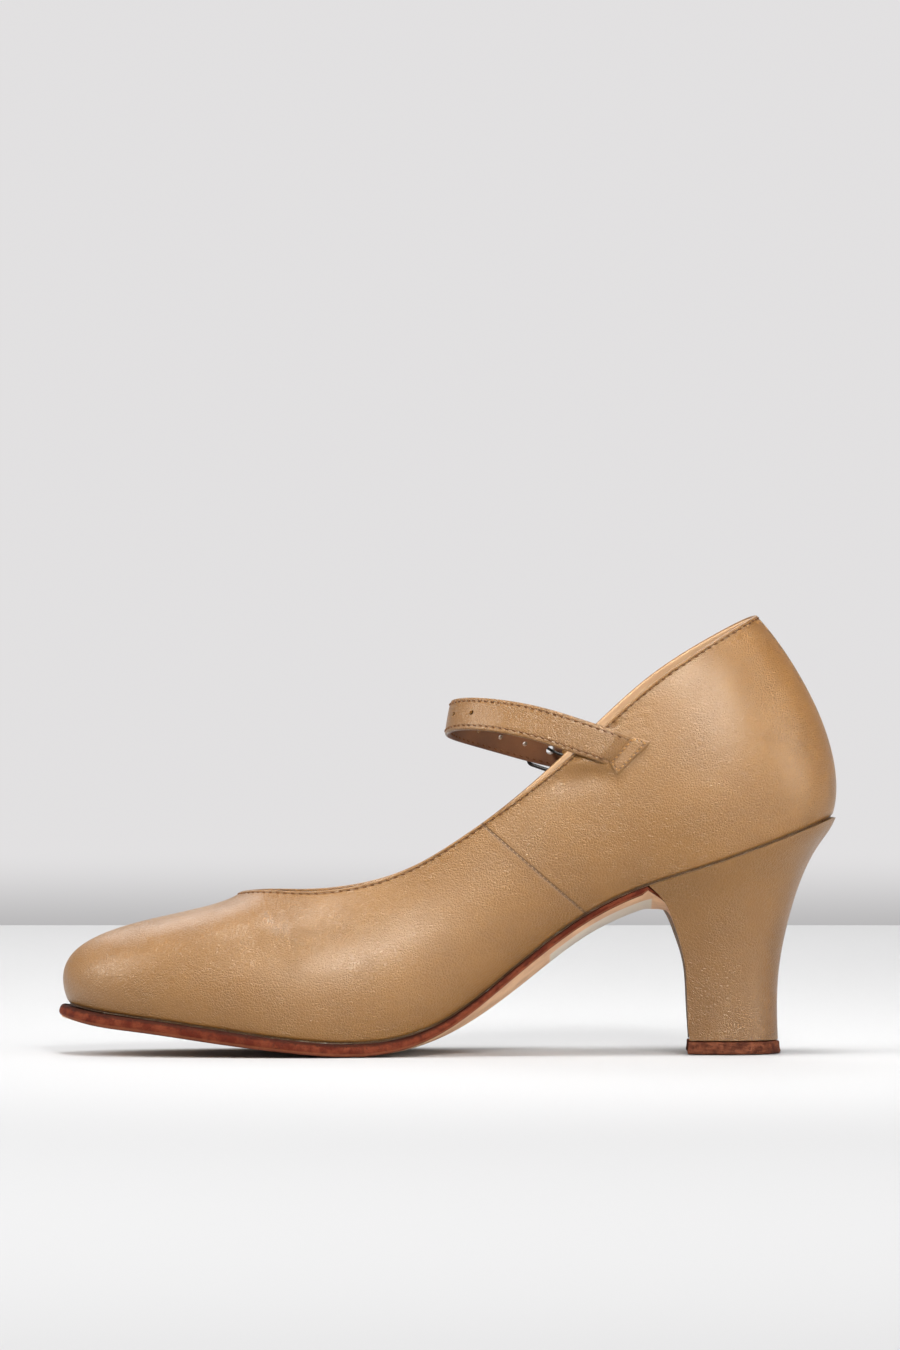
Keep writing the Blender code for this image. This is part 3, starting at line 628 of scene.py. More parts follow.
def leather_relief(points, below, above):
    """How far the leather stands out of the plain wall: edge, seams, creases and slow waves, in metres."""
    x, y, z = points.T / MM
    raised = np.zeros(len(x))
    for side, x0, z0, x1, z1, width, height in CREASES:
        near, _ = line_distance(x, z, ((x0, z0), (x1, z1)))
        raised += np.where(y * side > 0, height * np.exp(-((near / width) ** 2)), 0)
    for length, ax, az, start, height in WAVES:
        raised += height * np.sin((x * ax + z * az + 0.35 * y) * 2 * math.pi / length + start)
    raised *= np.clip(below / (4 * MM), 0.15, 1) * np.clip(above / (4 * MM), 0, 1)
    _, seam = line_distance(x, z, SIDE_SEAM)
    for away, ridge, trough in ((seam, 0.10, 0.10), (back_seam(x, y), 0.06, 0.08)):
        raised += ridge * np.exp(-(((np.abs(away) - 1.2) / 0.8) ** 2)) - trough * np.exp(-((away / 0.6) ** 2))
    raised *= MM
    raised += FOLD_RISE * np.exp(-(((below - 0.65 * MM) / (0.5 * MM)) ** 2))
    raised -= 0.14 * MM * np.exp(-(((below - STITCH_INSET) / (0.3 * MM)) ** 2))
    raised -= FOOT_TUCK * np.clip(1 - above / (1.2 * MM), 0, 1) ** 2
    return raised


def upper_marks(points, below, above):
    """Distances in mm that the leather's finish draws its seams by."""
    x, y, z = points.T / MM
    _, seam = line_distance(x, z, SIDE_SEAM)
    return {
        "seam": seam,
        "edge": below / MM,
        "foot": above / MM,
        "back": back_seam(x, y),
    }


def bottom_point(q, inward, up):
    """Points of the last's bottom, in from the feather line."""
    points = edge_point(q, np.full(len(q), -inward))
    points[:, 2] = bed_height(points[:, 0], points[:, 1]) + up
    return points


def make_upper(leather, lining):
    """The leather and its lining as one closed shell with a folded topline."""
    q = np.arange(PLACES) / PLACES

    def outer_depths(_, whole):
        plain = np.linspace(TOP_ROWS[-1], whole - FOOT_ROWS[0], WALL_ROWS + 1)[1:]
        return np.concatenate([TOP_ROWS, plain, whole - FOOT_ROWS[1:]])

    def inner_depths(_, whole):
        return np.linspace(1.2 * MM, whole, LINING_ROWS)

    fold = np.array(FOLD) * MM
    groups = []
    for kind, depths in (
        ("outer", outer_depths),
        ("fold", lambda _, whole: fold[:, 0]),
        ("inner", inner_depths),
    ):
        levels, whole = depth_levels(q, depths)
        rows = levels.shape[1]
        place, share = np.repeat(q, rows), levels.ravel()
        below = np.stack([depths(0, w) for w in whole])
        base = wall(place, share)
        normal = wall_normal(place, share)
        above = (whole[:, None] - below).ravel()
        inset = {"fold": np.tile(fold[:, 1], PLACES), "inner": WALL, "outer": 0.0}[kind]
        stand = leather_relief(base, below.ravel(), above)
        if kind == "fold":
            stand *= np.clip(1 - inset / (0.9 * MM), 0, 1)
        if kind == "inner":
            stand *= 0.35
        points = base + normal * np.reshape(stand - inset, (-1, 1))
        marks = upper_marks(base, below.ravel(), above)
        groups.append((points.reshape(PLACES, rows, 3), marks, rows))
    outer, top, inner = (group[0] for group in groups)
    margin = np.stack([bottom_point(q, inward * MM, up * MM) for inward, up in MARGIN], axis=1)
    rings = np.concatenate([outer[:, ::-1], top, inner, margin], axis=1)
    marks = {}
    for mark, under in (("seam", 9.0), ("edge", 60.0), ("foot", 0.0), ("back", 99.0)):
        columns = [found[mark].reshape(PLACES, rows) for _, found, rows in groups]
        columns[0] = columns[0][:, ::-1]
        marks[mark] = np.concatenate([*columns, np.full((PLACES, len(MARGIN)), under)], axis=1)
    size = rings.shape[1]
    faces = grid_faces(PLACES, size, wrap_rows=True, wrap_columns=True)
    leather_rows = outer.shape[1] + FOLD_LEATHER
    row = np.tile(np.arange(size), PLACES)
    finish = np.where((row >= leather_rows - 1) & (row < size - 1), 1, 0)
    add_piece("upper_shell", rings.reshape(-1, 3), faces, [leather, lining], ["upper"],
              finish, marks)


class Finish:
    """A node material."""

    def __init__(self, name, roughness=0.5, metallic=0.0, coat=0.0, coat_roughness=0.3, specular=0.5,
                 sheen=(1.0, 1.0, 1.0)):
        self.material = bpy.data.materials.new(name)
        self.material.use_nodes = True
        self.tree = self.material.node_tree
        self.shader = self.tree.nodes["Principled BSDF"]
        for key, value in (
            ("Roughness", roughness),
            ("Metallic", metallic),
            ("Specular IOR Level", specular),
            ("Coat Weight", coat),
            ("Coat Roughness", coat_roughness),
            ("Specular Tint", (*sheen, 1.0)),
        ):
            self.shader.inputs[key].default_value = value

    def feed(self, socket, value):
        if isinstance(value, bpy.types.NodeSocket):
            self.tree.links.new(value, socket)
        else:
            socket.default_value = value

    def node(self, kind, values=(), **settings):
        made = self.tree.nodes.new(kind)
        for key, value in settings.items():
            setattr(made, key, value)
        for key, value in dict(values).items():
            self.feed(made.inputs[key], value)
        return made

    def place(self, scale=(1, 1, 1), turn=(0, 0, 0)):
        """Coordinates in metres times scale, turned first."""
        where = self.node("ShaderNodeTexCoord").outputs["Object"]
        values = {"Vector": where, "Scale": scale, "Rotation": [math.radians(a) for a in turn]}
        return self.node("ShaderNodeMapping", values, vector_type="POINT").outputs[0]

    def noise(self, where, scale, detail=3.0, roughness=0.55, colour=False):
        values = {"Vector": where, "Scale": scale, "Detail": detail, "Roughness": roughness}
        return self.node("ShaderNodeTexNoise", values).outputs["Color" if colour else "Fac"]

    def math(self, kind, a, b=0.0):
        return self.node("ShaderNodeMath", {0: a, 1: b}, operation=kind).outputs[0]

    def vector(self, kind, values):
        return self.node("ShaderNodeVectorMath", values, operation=kind).outputs[0]

    def shift(self, where, noise, amount):
        """Coordinates moved about by a colour noise."""
        centred = self.vector("SUBTRACT", {0: noise, 1: (0.5, 0.5, 0.5)})
        return self.vector("ADD", {0: where, 1: self.vector("SCALE", {0: centred, "Scale": amount})})

    def cells(self, where, scale):
        """Distance to the nearest border between cells."""
        values = {"Vector": where, "Scale": scale}
        return self.node("ShaderNodeTexVoronoi", values, feature="DISTANCE_TO_EDGE").outputs["Distance"]

    def ease(self, value, start, end, low=0.0, high=1.0):
        """A smooth step from low to high as value goes from start to end."""
        values = {"Value": value, 1: start, 2: end, 3: low, 4: high}
        return self.node("ShaderNodeMapRange", values, interpolation_type="SMOOTHSTEP").outputs["Result"]

    def mark(self, name):
        return self.node("ShaderNodeAttribute", attribute_name=name).outputs["Fac"]

    def band(self, value, centre, inner, outer):
        """One within inner of the centre and nothing beyond outer."""
        away = self.math("ABSOLUTE", self.math("SUBTRACT", value, centre))
        return self.ease(away, inner, outer, 1.0, 0.0)

    def mix(self, share, a, b):
        made = self.node("ShaderNodeMix", data_type="RGBA")
        for k, value in ((0, share), (6, a), (7, b)):
            if not isinstance(value, bpy.types.NodeSocket) and k:
                value = (*value, 1.0)
            self.feed(made.inputs[k], value)
        return made.outputs[2]

    def stain(self, colour, mask, share, other):
        """The colour mixed with another where the mask is, at most by a share."""
        return self.mix(self.math("MULTIPLY", mask, share), colour, other)

    def add(self, *terms):
        """The sum of terms, each a socket or a pair of a socket and its share."""
        total = None
        for term in terms:
            if isinstance(term, tuple):
                term = self.math("MULTIPLY", *term)
            total = term if total is None else self.math("ADD", total, term)
        return total

    def done(self, colour, height=None, roughness=None):
        """Sets the colour, the height of the bumps in mm and the roughness."""
        self.feed(self.shader.inputs["Base Color"], colour)
        if height is not None:
            bump = self.node("ShaderNodeBump", {"Strength": 1.0, "Distance": MM, "Height": height})
            self.feed(self.shader.inputs["Normal"], bump.outputs[0])
        if roughness is not None:
            self.feed(self.shader.inputs["Roughness"], roughness)
        return self.material


TAN_LIGHT = (0.200, 0.087, 0.0158)
TAN_DARK = (0.178, 0.075, 0.0130)
# Dark tan of the grain's pores, also mixed in as painted shade on the heel, the strap and the patch.
TAN_PORE_AND_SHADE = (0.090, 0.034, 0.008)
WARM_SHEEN = (1.0, 0.96, 0.79)
CREVICE_SHADE = (0.050, 0.022, 0.010)
# Dark brown of the thread and the seams, also stained into the stitch grooves as painted shade.
THREAD_AND_SHADE_BROWN = (0.070, 0.027, 0.010)
THREAD_TAN = (0.420, 0.290, 0.165)
THREAD_GOLD = (0.400, 0.220, 0.080)
SOLE_EDGE = (0.078, 0.013, 0.006)
SOLE_EDGE_DARK = (0.032, 0.010, 0.006)
SOLE_TAN = (0.760, 0.480, 0.275)
SOLE_PALE = (0.700, 0.640, 0.540)
STRAP_LINING = (0.150, 0.060, 0.025)
LINING_TAN = (0.500, 0.320, 0.175)
METAL = (0.022, 0.021, 0.020)
GRAIN_MEAN = 0.235  # the mean height of the leather's grain in mm
PALE_WAIST = (-47.5, 15.5, 16.2)  # along the underside in mm: middle, full to, gone at
RUBBED_BALL = (28.0, 8.0, 34.0)


def tan_finish(name, coat=0.15):
    """Leather with a soft warm sheen under a thin clear coat."""
    return Finish(name, coat=coat, coat_roughness=0.34, specular=0.72, sheen=WARM_SHEEN)


def grained(finish, light=TAN_LIGHT, dark=TAN_DARK):
    """Colour and bumps of the tan leather: mottled, with a fine wrinkled grain."""
    where = finish.place()
    mottle = finish.noise(where, 42, 4)
    cloud = finish.noise(where, 260, 3)
    shade = finish.add((mottle, 0.75), (cloud, 0.25))
    colour = finish.mix(finish.ease(shade, 0.32, 0.68), dark, light)
    drift = finish.noise(where, 520, 2, colour=True)
    cells = finish.cells(finish.shift(where, drift, 0.0011), 1150)
    pebble = finish.ease(cells, 0.0, 0.24)
    streaks = finish.noise(finish.shift(finish.place((1, 1, 2.6), (0, 38, 0)), drift, 0.0009), 720, 3, 0.6)
    fine = finish.noise(where, 3600, 2)
    worn = finish.ease(finish.noise(where, 70, 3), 0.40, 0.68, 0.6, 1.0)
    colour = finish.stain(colour, finish.ease(cells, 0.0, 0.07, 0.26, 0.0), worn, TAN_PORE_AND_SHADE)
    grain = finish.add((pebble, 0.130), (streaks, 0.230), (fine, 0.022))
    height = finish.math("MULTIPLY", finish.math("SUBTRACT", grain, GRAIN_MEAN), worn)
    rough = finish.ease(finish.noise(where, 150, 3), 0.3, 0.7, 0.31, 0.37)
    return colour, height, rough


def upper_leather():
    """Tan leather with its seams, its stitched edge with painted shade in the stitch groove, and painted shade
    in the crevice along the sole.
    """
    finish = tan_finish("upper_tan_leather", coat=0.18)
    colour, height, rough = grained(finish)
    seam, back = finish.mark("seam"), finish.mark("back")
    edge, foot = finish.mark("edge"), finish.mark("foot")
    cut = finish.math("MAXIMUM", finish.band(seam, 0.0, 0.20, 0.55), finish.band(back, 0.0, 0.08, 0.26))
    shaded_groove = finish.band(edge, STITCH_INSET / MM, 0.08, 0.42)
    # Painted shade in the crevice along the sole, where the upper meets it.
    crevice = finish.ease(foot, 0.05, 0.75, 1.0, 0.0)
    colour = finish.stain(colour, cut, 0.80, THREAD_AND_SHADE_BROWN)
    # Painted shade in the groove of the topline's stitches.
    colour = finish.stain(colour, shaded_groove, 0.48, THREAD_AND_SHADE_BROWN)
    colour = finish.stain(colour, crevice, 0.80, CREVICE_SHADE)
    pucker = finish.band(edge, 1.9, 0.2, 1.5)
    ripple = finish.noise(finish.place(), 900, 2)
    puckered = finish.math("MULTIPLY", pucker, ripple)
    height = finish.add(height, (cut, -0.22), (shaded_groove, -0.10), (puckered, 0.10))
    return finish.done(colour, height, rough)


def plain_leather(name, shade_tone=1.0):
    """The tan leather where it carries no seam: heel cover and loop. A tone below one makes a darker copy of
    it as painted shade, and near the floor it carries painted shade, darker downwards.
    """
    finish = tan_finish(name)
    light, dark = (tuple(shade_tone * part for part in colour) for colour in (TAN_LIGHT, TAN_DARK))
    colour, height, rough = grained(finish, light, dark)
    # Painted shade: darker towards the floor over the lowest 60 mm.
    low = finish.node("ShaderNodeSeparateXYZ", {0: finish.place()}).outputs[2]
    colour = finish.mix(finish.ease(low, 0.0, 0.060, 0.45, 0.0), colour, TAN_PORE_AND_SHADE)
    return finish.done(colour, height, rough)


def strap_leather():
    """The strap's tan leather, darker all over as painted shade, sunk along its two rows of stitches with
    painted shade in their grooves.
    """
    finish = tan_finish("strap_tan_leather")
    colour, height, rough = grained(finish)
    # Painted shade: the whole strap is mixed by 0.24 towards dark tan.
    colour = finish.mix(0.24, colour, TAN_PORE_AND_SHADE)
    across = finish.math("ABSOLUTE", finish.mark("across"))
    shaded_groove = finish.band(across, (STRAP_WIDTH / 2 - STRAP_STITCH_INSET) / MM, 0.06, 0.40)
    # Painted shade in the grooves of the strap's stitches.
    colour = finish.stain(colour, shaded_groove, 0.34, THREAD_AND_SHADE_BROWN)
    half = STRAP_WIDTH / 2 / MM
    rim = finish.ease(across, half - 0.35, half + 0.1)
    colour = finish.stain(colour, rim, 0.30, TAN_PORE_AND_SHADE)
    height = finish.add(height, (shaded_groove, -0.12))
    return finish.done(colour, height, rough)


def patch_leather():
    """The stitched patch: the same leather, darker all over as painted shade, sunk along its box of stitches
    with painted shade in its groove.
    """
    finish = tan_finish("patch_tan_leather")
    colour, height, rough = grained(finish)
    # Painted shade: the whole patch is mixed by 0.16 towards dark tan.
    colour = finish.mix(0.16, colour, TAN_PORE_AND_SHADE)
    shaded_groove = finish.band(finish.mark("rim"), PATCH_STITCH_INSET / MM, 0.08, 0.36)
    # Painted shade in the groove of the patch's stitches.
    colour = finish.stain(colour, shaded_groove, 0.80, THREAD_AND_SHADE_BROWN)
    cut = finish.ease(finish.mark("rim"), 0.0, 0.16, 1.0, 0.0)
    colour = finish.stain(colour, cut, 0.30, TAN_PORE_AND_SHADE)
    return finish.done(colour, finish.add(height, (shaded_groove, -0.10)), rough)


def soft_lining(name, colour_a, colour_b, rough=0.75):
    """Plain matt lining leather with a faint nap."""
    finish = Finish(name)
    where = finish.place()
    shade = finish.ease(finish.noise(where, 55, 4), 0.35, 0.65)
    colour = finish.mix(shade, colour_a, colour_b)
    nap = finish.noise(where, 2600, 3)
    creases = finish.noise(finish.place((1, 1, 2.2), (0, -30, 0)), 480, 3)
    height = finish.add((nap, 0.03), (creases, 0.05))
    return finish.done(colour, height, finish.ease(nap, 0.3, 0.7, rough - 0.06, rough + 0.06))


def sole_edge():
    """Stained, burnished leather edge: reddish brown, mottled, with layers along it, painted shade along its
    top where the upper meets it and a painted highlight along its lower chamfer.
    """
    finish = Finish("sole_edge_stain", specular=0.04)
    where = finish.place()
    shade = finish.ease(finish.noise(where, 210, 5, 0.65), 0.38, 0.62)
    colour = finish.mix(shade, SOLE_EDGE, (0.140, 0.033, 0.015))
    fleck = finish.ease(finish.noise(where, 900, 4, 0.7), 0.52, 0.70)
    colour = finish.stain(colour, fleck, 0.65, SOLE_EDGE_DARK)
    deep = finish.mark("deep")
    crumb = finish.noise(where, 620, 4, 0.7)
    # Painted shade: the edge darkens raggedly along its top, where it meets the upper.
    top = finish.ease(finish.add(deep, (crumb, 0.40)), 0.30, 0.52, 1.0, 0.0)
    colour = finish.stain(colour, top, 0.88, SOLE_EDGE_DARK)
    # Painted highlight along the lower chamfer of the edge.
    lit = finish.band(deep, 0.86, 0.05, 0.16)
    colour = finish.stain(colour, lit, 0.30, (0.34, 0.125, 0.062))
    layers = finish.noise(finish.place((1, 1, 7)), 620, 3)
    height = finish.add((layers, 0.16), (fleck, -0.08), (finish.math("MULTIPLY", top, crumb), 0.25))
    return finish.done(colour, height, finish.ease(shade, 0.0, 1.0, 0.52, 0.68))


def sole_under():
    """The underside: tan sole leather, rubbed under the ball, with a bare paler patch at the waist."""
    finish = Finish("sole_underside", specular=0.25)
    where = finish.place()
    shade = finish.ease(finish.noise(where, 90, 5, 0.6), 0.35, 0.65)
    colour = finish.mix(shade, SOLE_TAN, (0.590, 0.350, 0.205))
    pale = finish.math("MULTIPLY", finish.band(finish.mark("along"), *PALE_WAIST),
                       finish.band(finish.mark("side"), 0.0, 0.70, 0.74))
    colour = finish.stain(colour, pale, 0.92, SOLE_PALE)
    rub = finish.math("MULTIPLY", finish.band(finish.mark("along"), *RUBBED_BALL),
                      finish.ease(finish.noise(where, 160, 4), 0.40, 0.62))
    colour = finish.stain(colour, rub, 0.35, (0.26, 0.150, 0.085))
    fibre = finish.noise(finish.place((0.3, 1, 1)), 1500, 4, 0.65)
    return finish.done(colour, finish.add((fibre, 0.06)), finish.ease(fibre, 0.3, 0.7, 0.60, 0.80))


def lift_leather():
    """The top lift: rough stacked brown, its wall torn and dusty in places."""
    finish = Finish("lift_brown", specular=0.04)
    where = finish.place()
    shade = finish.ease(finish.noise(where, 260, 5, 0.65), 0.36, 0.62)
    colour = finish.mix(shade, (0.048, 0.013, 0.007), (0.140, 0.046, 0.023))
    fleck = finish.ease(finish.noise(where, 1100, 4, 0.7), 0.55, 0.70)
    colour = finish.stain(colour, fleck, 0.6, (0.03, 0.012, 0.008))
    layers = finish.noise(finish.place((1, 1, 5)), 700, 3)
    height = finish.add((layers, 0.24), (fleck, -0.14))
    return finish.done(colour, height, finish.ease(shade, 0.0, 1.0, 0.55, 0.75))


def thread(name, colour, tint):
    """Twisted sewing thread."""
    finish = Finish(name, specular=0.12)
    twist = finish.noise(finish.place(), 4200, 2)
    shade = finish.mix(finish.ease(twist, 0.35, 0.65), colour, tint)
    return finish.done(shade, finish.add((twist, 0.05)), finish.ease(twist, 0.3, 0.7, 0.55, 0.7))


def dark_metal():
    """Blackened wire with a faint brushed sheen."""
    finish = Finish("blackened_metal", roughness=0.3, metallic=1.0)
    rub = finish.noise(finish.place((1, 1, 3)), 1800, 3)
    colour = finish.mix(finish.ease(rub, 0.45, 0.75), METAL, (0.085, 0.080, 0.075))
    return finish.done(colour, finish.add((rub, 0.01)), finish.ease(rub, 0.3, 0.7, 0.24, 0.42))


EDGE_PROFILE = (  # the outsole's side, from its top edge down
    # out (mm), share of the thickness
    (-0.80, 0.00),
    (-0.34, 0.06),
    (-0.04, 0.17),
    (0.14, 0.40),
    (0.12, 0.62),
    (-0.06, 0.76),
    (-0.40, 0.89),
    (-0.95, 1.00),
)
SOLE_SHARES = 29  # points across the sole
FLAP_ROWS = 49
FLAP_HALF = 0.024  # half of the flap's width, which the edge profile eases


def edge_eased(count):
    """Shares from 0 to 1, closer together towards both ends."""
    t = np.linspace(0, 1, count)
    return 0.65 * t + 0.35 * (1 - np.cos(math.pi * t)) / 2


def fine_stations():
    """Rows from the toe back to the heel's breast: place on the loop, spread, thickness and fullness."""
    table = np.array(OUTSOLE)
    curve = Curve(table[:, 0], table[:, 1:] * MM)
    toe = 98.9 - 22 * (1 - np.cos(np.linspace(0.02, math.pi / 2, 34)))
    along = np.concatenate([toe, np.linspace(76.4, 25.5, 150)])
    spread, thick, full = curve.at(along).T
    return q_at(along), spread, thick, np.maximum(full, 0)


def make_outsole(edge, under):
    """The outsole with its eased edge, thin waist and the flap over the heel's breast."""
    q, spread, thick, full = fine_stations()
    shares = edge_eased(SOLE_SHARES)
    fine = np.linspace(0, 1, FLAP_ROWS)
    rows = Curve(np.linspace(0, 1, len(FLAP)), np.array(FLAP)).at(fine)
    flap = breast_rows(rows[:, 0], shares, rows[:, 1], 3 * GAP)
    thin = np.full(len(fine), FLAP_THICKNESS)
    depth = np.concatenate([thick, thin])
    middle = SOLE_SHARES // 2
    top = np.concatenate([lowered(ladder(q, spread + EDGE_PROFILE[0][0] * MM, shares)), flap])
    normal = sole_down(top[:, middle])
    corner = np.column_stack([rows[:, 2], np.zeros(len(fine)), -rows[:, 3]]) * MM
    fill = np.concatenate([normal[: len(q)] * full[:, None], corner])
    arch = (4 * shares * (1 - shares))[None, :, None]
    centre = flap[:, [middle]]
    sides = []
    for out, share in EDGE_PROFILE:
        level = lowered(ladder(q, spread + out * MM, shares))
        closer = centre + (flap - centre) * (1 + out * MM / FLAP_HALF)
        whole = np.concatenate([level, closer]) + normal[:, None] * (depth * share)[:, None, None]
        if share == 1:
            whole = whole + arch * fill[:, None]
        whole[:, :, 2] = np.maximum(whole[:, :, 2], 0.0)
        sides.append(whole)
    rings = bed_rings(top[:, 1:-1], sides)
    drops = [share for _, share in EDGE_PROFILE]
    ring_deep = np.concatenate([np.zeros(SOLE_SHARES - 2), drops, np.ones(SOLE_SHARES - 2), drops[::-1]])
    span = 2 * shares[1:-1] - 1
    ones = np.ones(len(drops))
    ring_side = np.concatenate([span, ones, span[::-1], -ones])
    count, size = rings.shape[:2]
    start = SOLE_SHARES - 2 + len(drops) - 1
    stop = start + SOLE_SHARES - 1
    column = np.tile(np.arange(size), count - 1)
    finish = np.where((column >= start) & (column < stop), 1, 0)
    marks = {
        "deep": np.tile(ring_deep, count),
        "side": np.tile(ring_side, count),
        "along": rings[:, :, 0].ravel() / MM,
    }
    lofted_piece("outsole_leather", rings, [edge, under], ["outsole"], 50, marks, finish)


def bed_rings(top, sides):
    """Rings round a flat bed: across its top, down the levels of its side, back underneath and up."""
    rings = []
    for i, row in enumerate(top):
        right = [level[i, -1] for level in sides]
        left = [level[i, 0] for level in sides[::-1]]
        rings.append(np.concatenate([row, right, sides[-1][i, -2:0:-1], left]))
    return np.array(rings)


def lowered(rows):
    rows = rows.copy()
    rows[:, :, 2] -= GAP
    return rows


def lofted_piece(name, rings, finishes, stands_for, sharp, marks=None, finish=0.0):
    """A closed piece through rings of equal point count, its ends closed by strips of quads.
    finish: the finish's number for each face between the rings."""
    rings = np.asarray(rings, float)
    count, size = rings.shape[:2]
    faces = grid_faces(count, size, wrap_columns=True).tolist()
    finish = np.broadcast_to(finish, len(faces))
    for cap in (np.arange(size)[::-1], (count - 1) * size + np.arange(size)):
        for j in range(size // 2 - 1):
            quad = [int(cap[k]) for k in (j, j + 1, size - 2 - j, size - 1 - j)]
            faces.append(list(dict.fromkeys(quad)))
    finish = np.concatenate([finish, np.zeros(len(faces) - len(finish))])
    add_piece(name, rings.reshape(-1, 3), faces, finishes, stands_for, finish, marks, sharp)


def make_insole(sock):
    """Insole board and sock: a thin bed with a rounded rim."""
    ends = np.linspace(0.06, math.pi / 2, 24)
    toe = 98.3 - 16 * (1 - np.cos(ends))
    heel = 1.4 + 14 * (1 - np.cos(ends[::-1]))
    along = np.concatenate([toe, np.linspace(81.8, 16, 110), heel])
    q = q_at(along)
    shares = edge_eased(SOLE_SHARES)
    inset = WALL + 2 * GAP
    levels = []
    for out, up in ((0.0, 0.0), (0.0, 0.75), (-0.12 * MM, 0.92), (-0.4 * MM, 1.0)):
        rows = ladder(q, np.full(len(q), out - inset), shares)
        rows[:, :, 2] += GAP + INSOLE_THICKNESS * up
        levels.append(rows)
    lofted_piece("insole_sock", bed_rings(levels[0], levels[1:]), [sock], ["insole"], 60)


def make_heel(leather):
    """The covered heel block: a smooth curve from the seat to the top lift."""
    outline = seat_outline(SEAT_POINTS)
    top = heel_ring(0.0, outline, BREAST_POINTS)
    centre = np.array([-0.0930, 0.0])
    rings = []
    for scale in (0.15, 0.4, 0.65, 0.85, 0.97):
        ring = top.copy()
        ring[:, :2] = centre + (top[:, :2] - centre) * scale
        ring[:, 2] = bed_height(ring[:, 0], ring[:, 1]) - GAP
        rings.append(ring)
    for down in np.concatenate([[0.002, 0.006, 0.012], np.linspace(0.02, 0.985, 74), [0.993, 0.998]]):
        rings.append(heel_ring(down, outline, BREAST_POINTS))
    base = rings[-1]
    middle = base.mean(axis=0)
    for scale in (0.985, 0.6, 0.25):
        ring = middle + (base - middle) * scale
        ring[:, 2] = LIFT_HEIGHT + GAP
        rings.append(ring)
    lofted_piece("heel_cover", rings, [leather], ["heel"], 50)


LIFT_PROFILE = (  # the top lift's side, from its top down
    # height, out from the heel's foot (mm)
    (3.9, -6.0),
    (3.9, 0.0),
    (3.75, 0.32),
    (3.4, 0.42),
    (2.6, 0.50),
    (1.8, 0.62),
    (1.1, 0.84),
    (0.5, 0.80),
    (0.18, 0.62),
    (0.0, 0.30),
    (0.0, -6.0),
)


def make_top_lift(brown):
    """The wearing piece under the heel, its rim slightly rounded and rubbed."""
    ring = heel_ring(1.0, seat_outline(SEAT_POINTS), BREAST_POINTS)
    centre = ring.mean(axis=0)
    out = ring - centre
    out[:, 2] = 0
    long = np.linalg.norm(out, axis=1)[:, None]
    turn = np.arctan2(out[:, 1], out[:, 0])
    rings = []
    for height, spread in LIFT_PROFILE:
        ragged = 0.07 * np.sin(9 * turn + height) + 0.05 * np.sin(23 * turn + 2 * height)
        ragged *= 0 < height < 3.8
        level = centre + out * (1 + (spread + ragged)[:, None] * MM / long)
        level[:, 2] = height * MM
        rings.append(level)
    lofted_piece("top_lift_leather", rings, [brown], ["top_lift"], 55)


def strap_columns():
    """Places along the strap, spaced so that each hole falls on a column."""
    curve, length = strap_curve()
    step = HOLE_PITCH / HOLE_CELLS
    start = buckle_place() % step
    places = np.arange(start, length - 1.0 * MM, step)
    fixed = [-STRAP_TUCK, -0.5 * STRAP_TUCK, 0.0]
    tip = length - np.array([0.8, 0.55, 0.32, 0.14, 0.0]) * MM
    return curve, length, np.concatenate([fixed, places[places > 0.3 * step], tip])


def strap_levels():
    """Places across the strap, an even grid in the middle and finer at its two edges."""
    half = STRAP_WIDTH / 2
    inner = np.linspace(-half, half, STRAP_CELLS + 1)[1:-1]
    rim = half - np.array([0.0, 0.05, 0.16, 0.30]) * MM
    return np.concatenate([-rim, inner, rim[::-1]])


def punch(grid_s, grid_w, hole_s, radius):
    """Moves the grid round a hole onto its circle and says which cells fall inside it."""
    step = HOLE_PITCH / HOLE_CELLS
    reach = max(2, round(radius / step))
    s, w = grid_s - hole_s, grid_w
    square = np.maximum(np.abs(s) / (reach * step), np.abs(w) / (reach * step))
    away = np.hypot(s, w)
    for level, share in ((1.0, 1.0), (1.0 + 1 / reach, 0.45), (1.0 + 2 / reach, 0.12)):
        ring = np.abs(square - level) < 0.2 / reach
        target = radius * level
        scale = np.where(ring, 1 + (target / np.maximum(away, 1e-9) - 1) * share, 1.0)
        s, w = s * scale, w * scale
    inside = square < 1.0 - 0.2 / reach
    return s + hole_s, w, inside


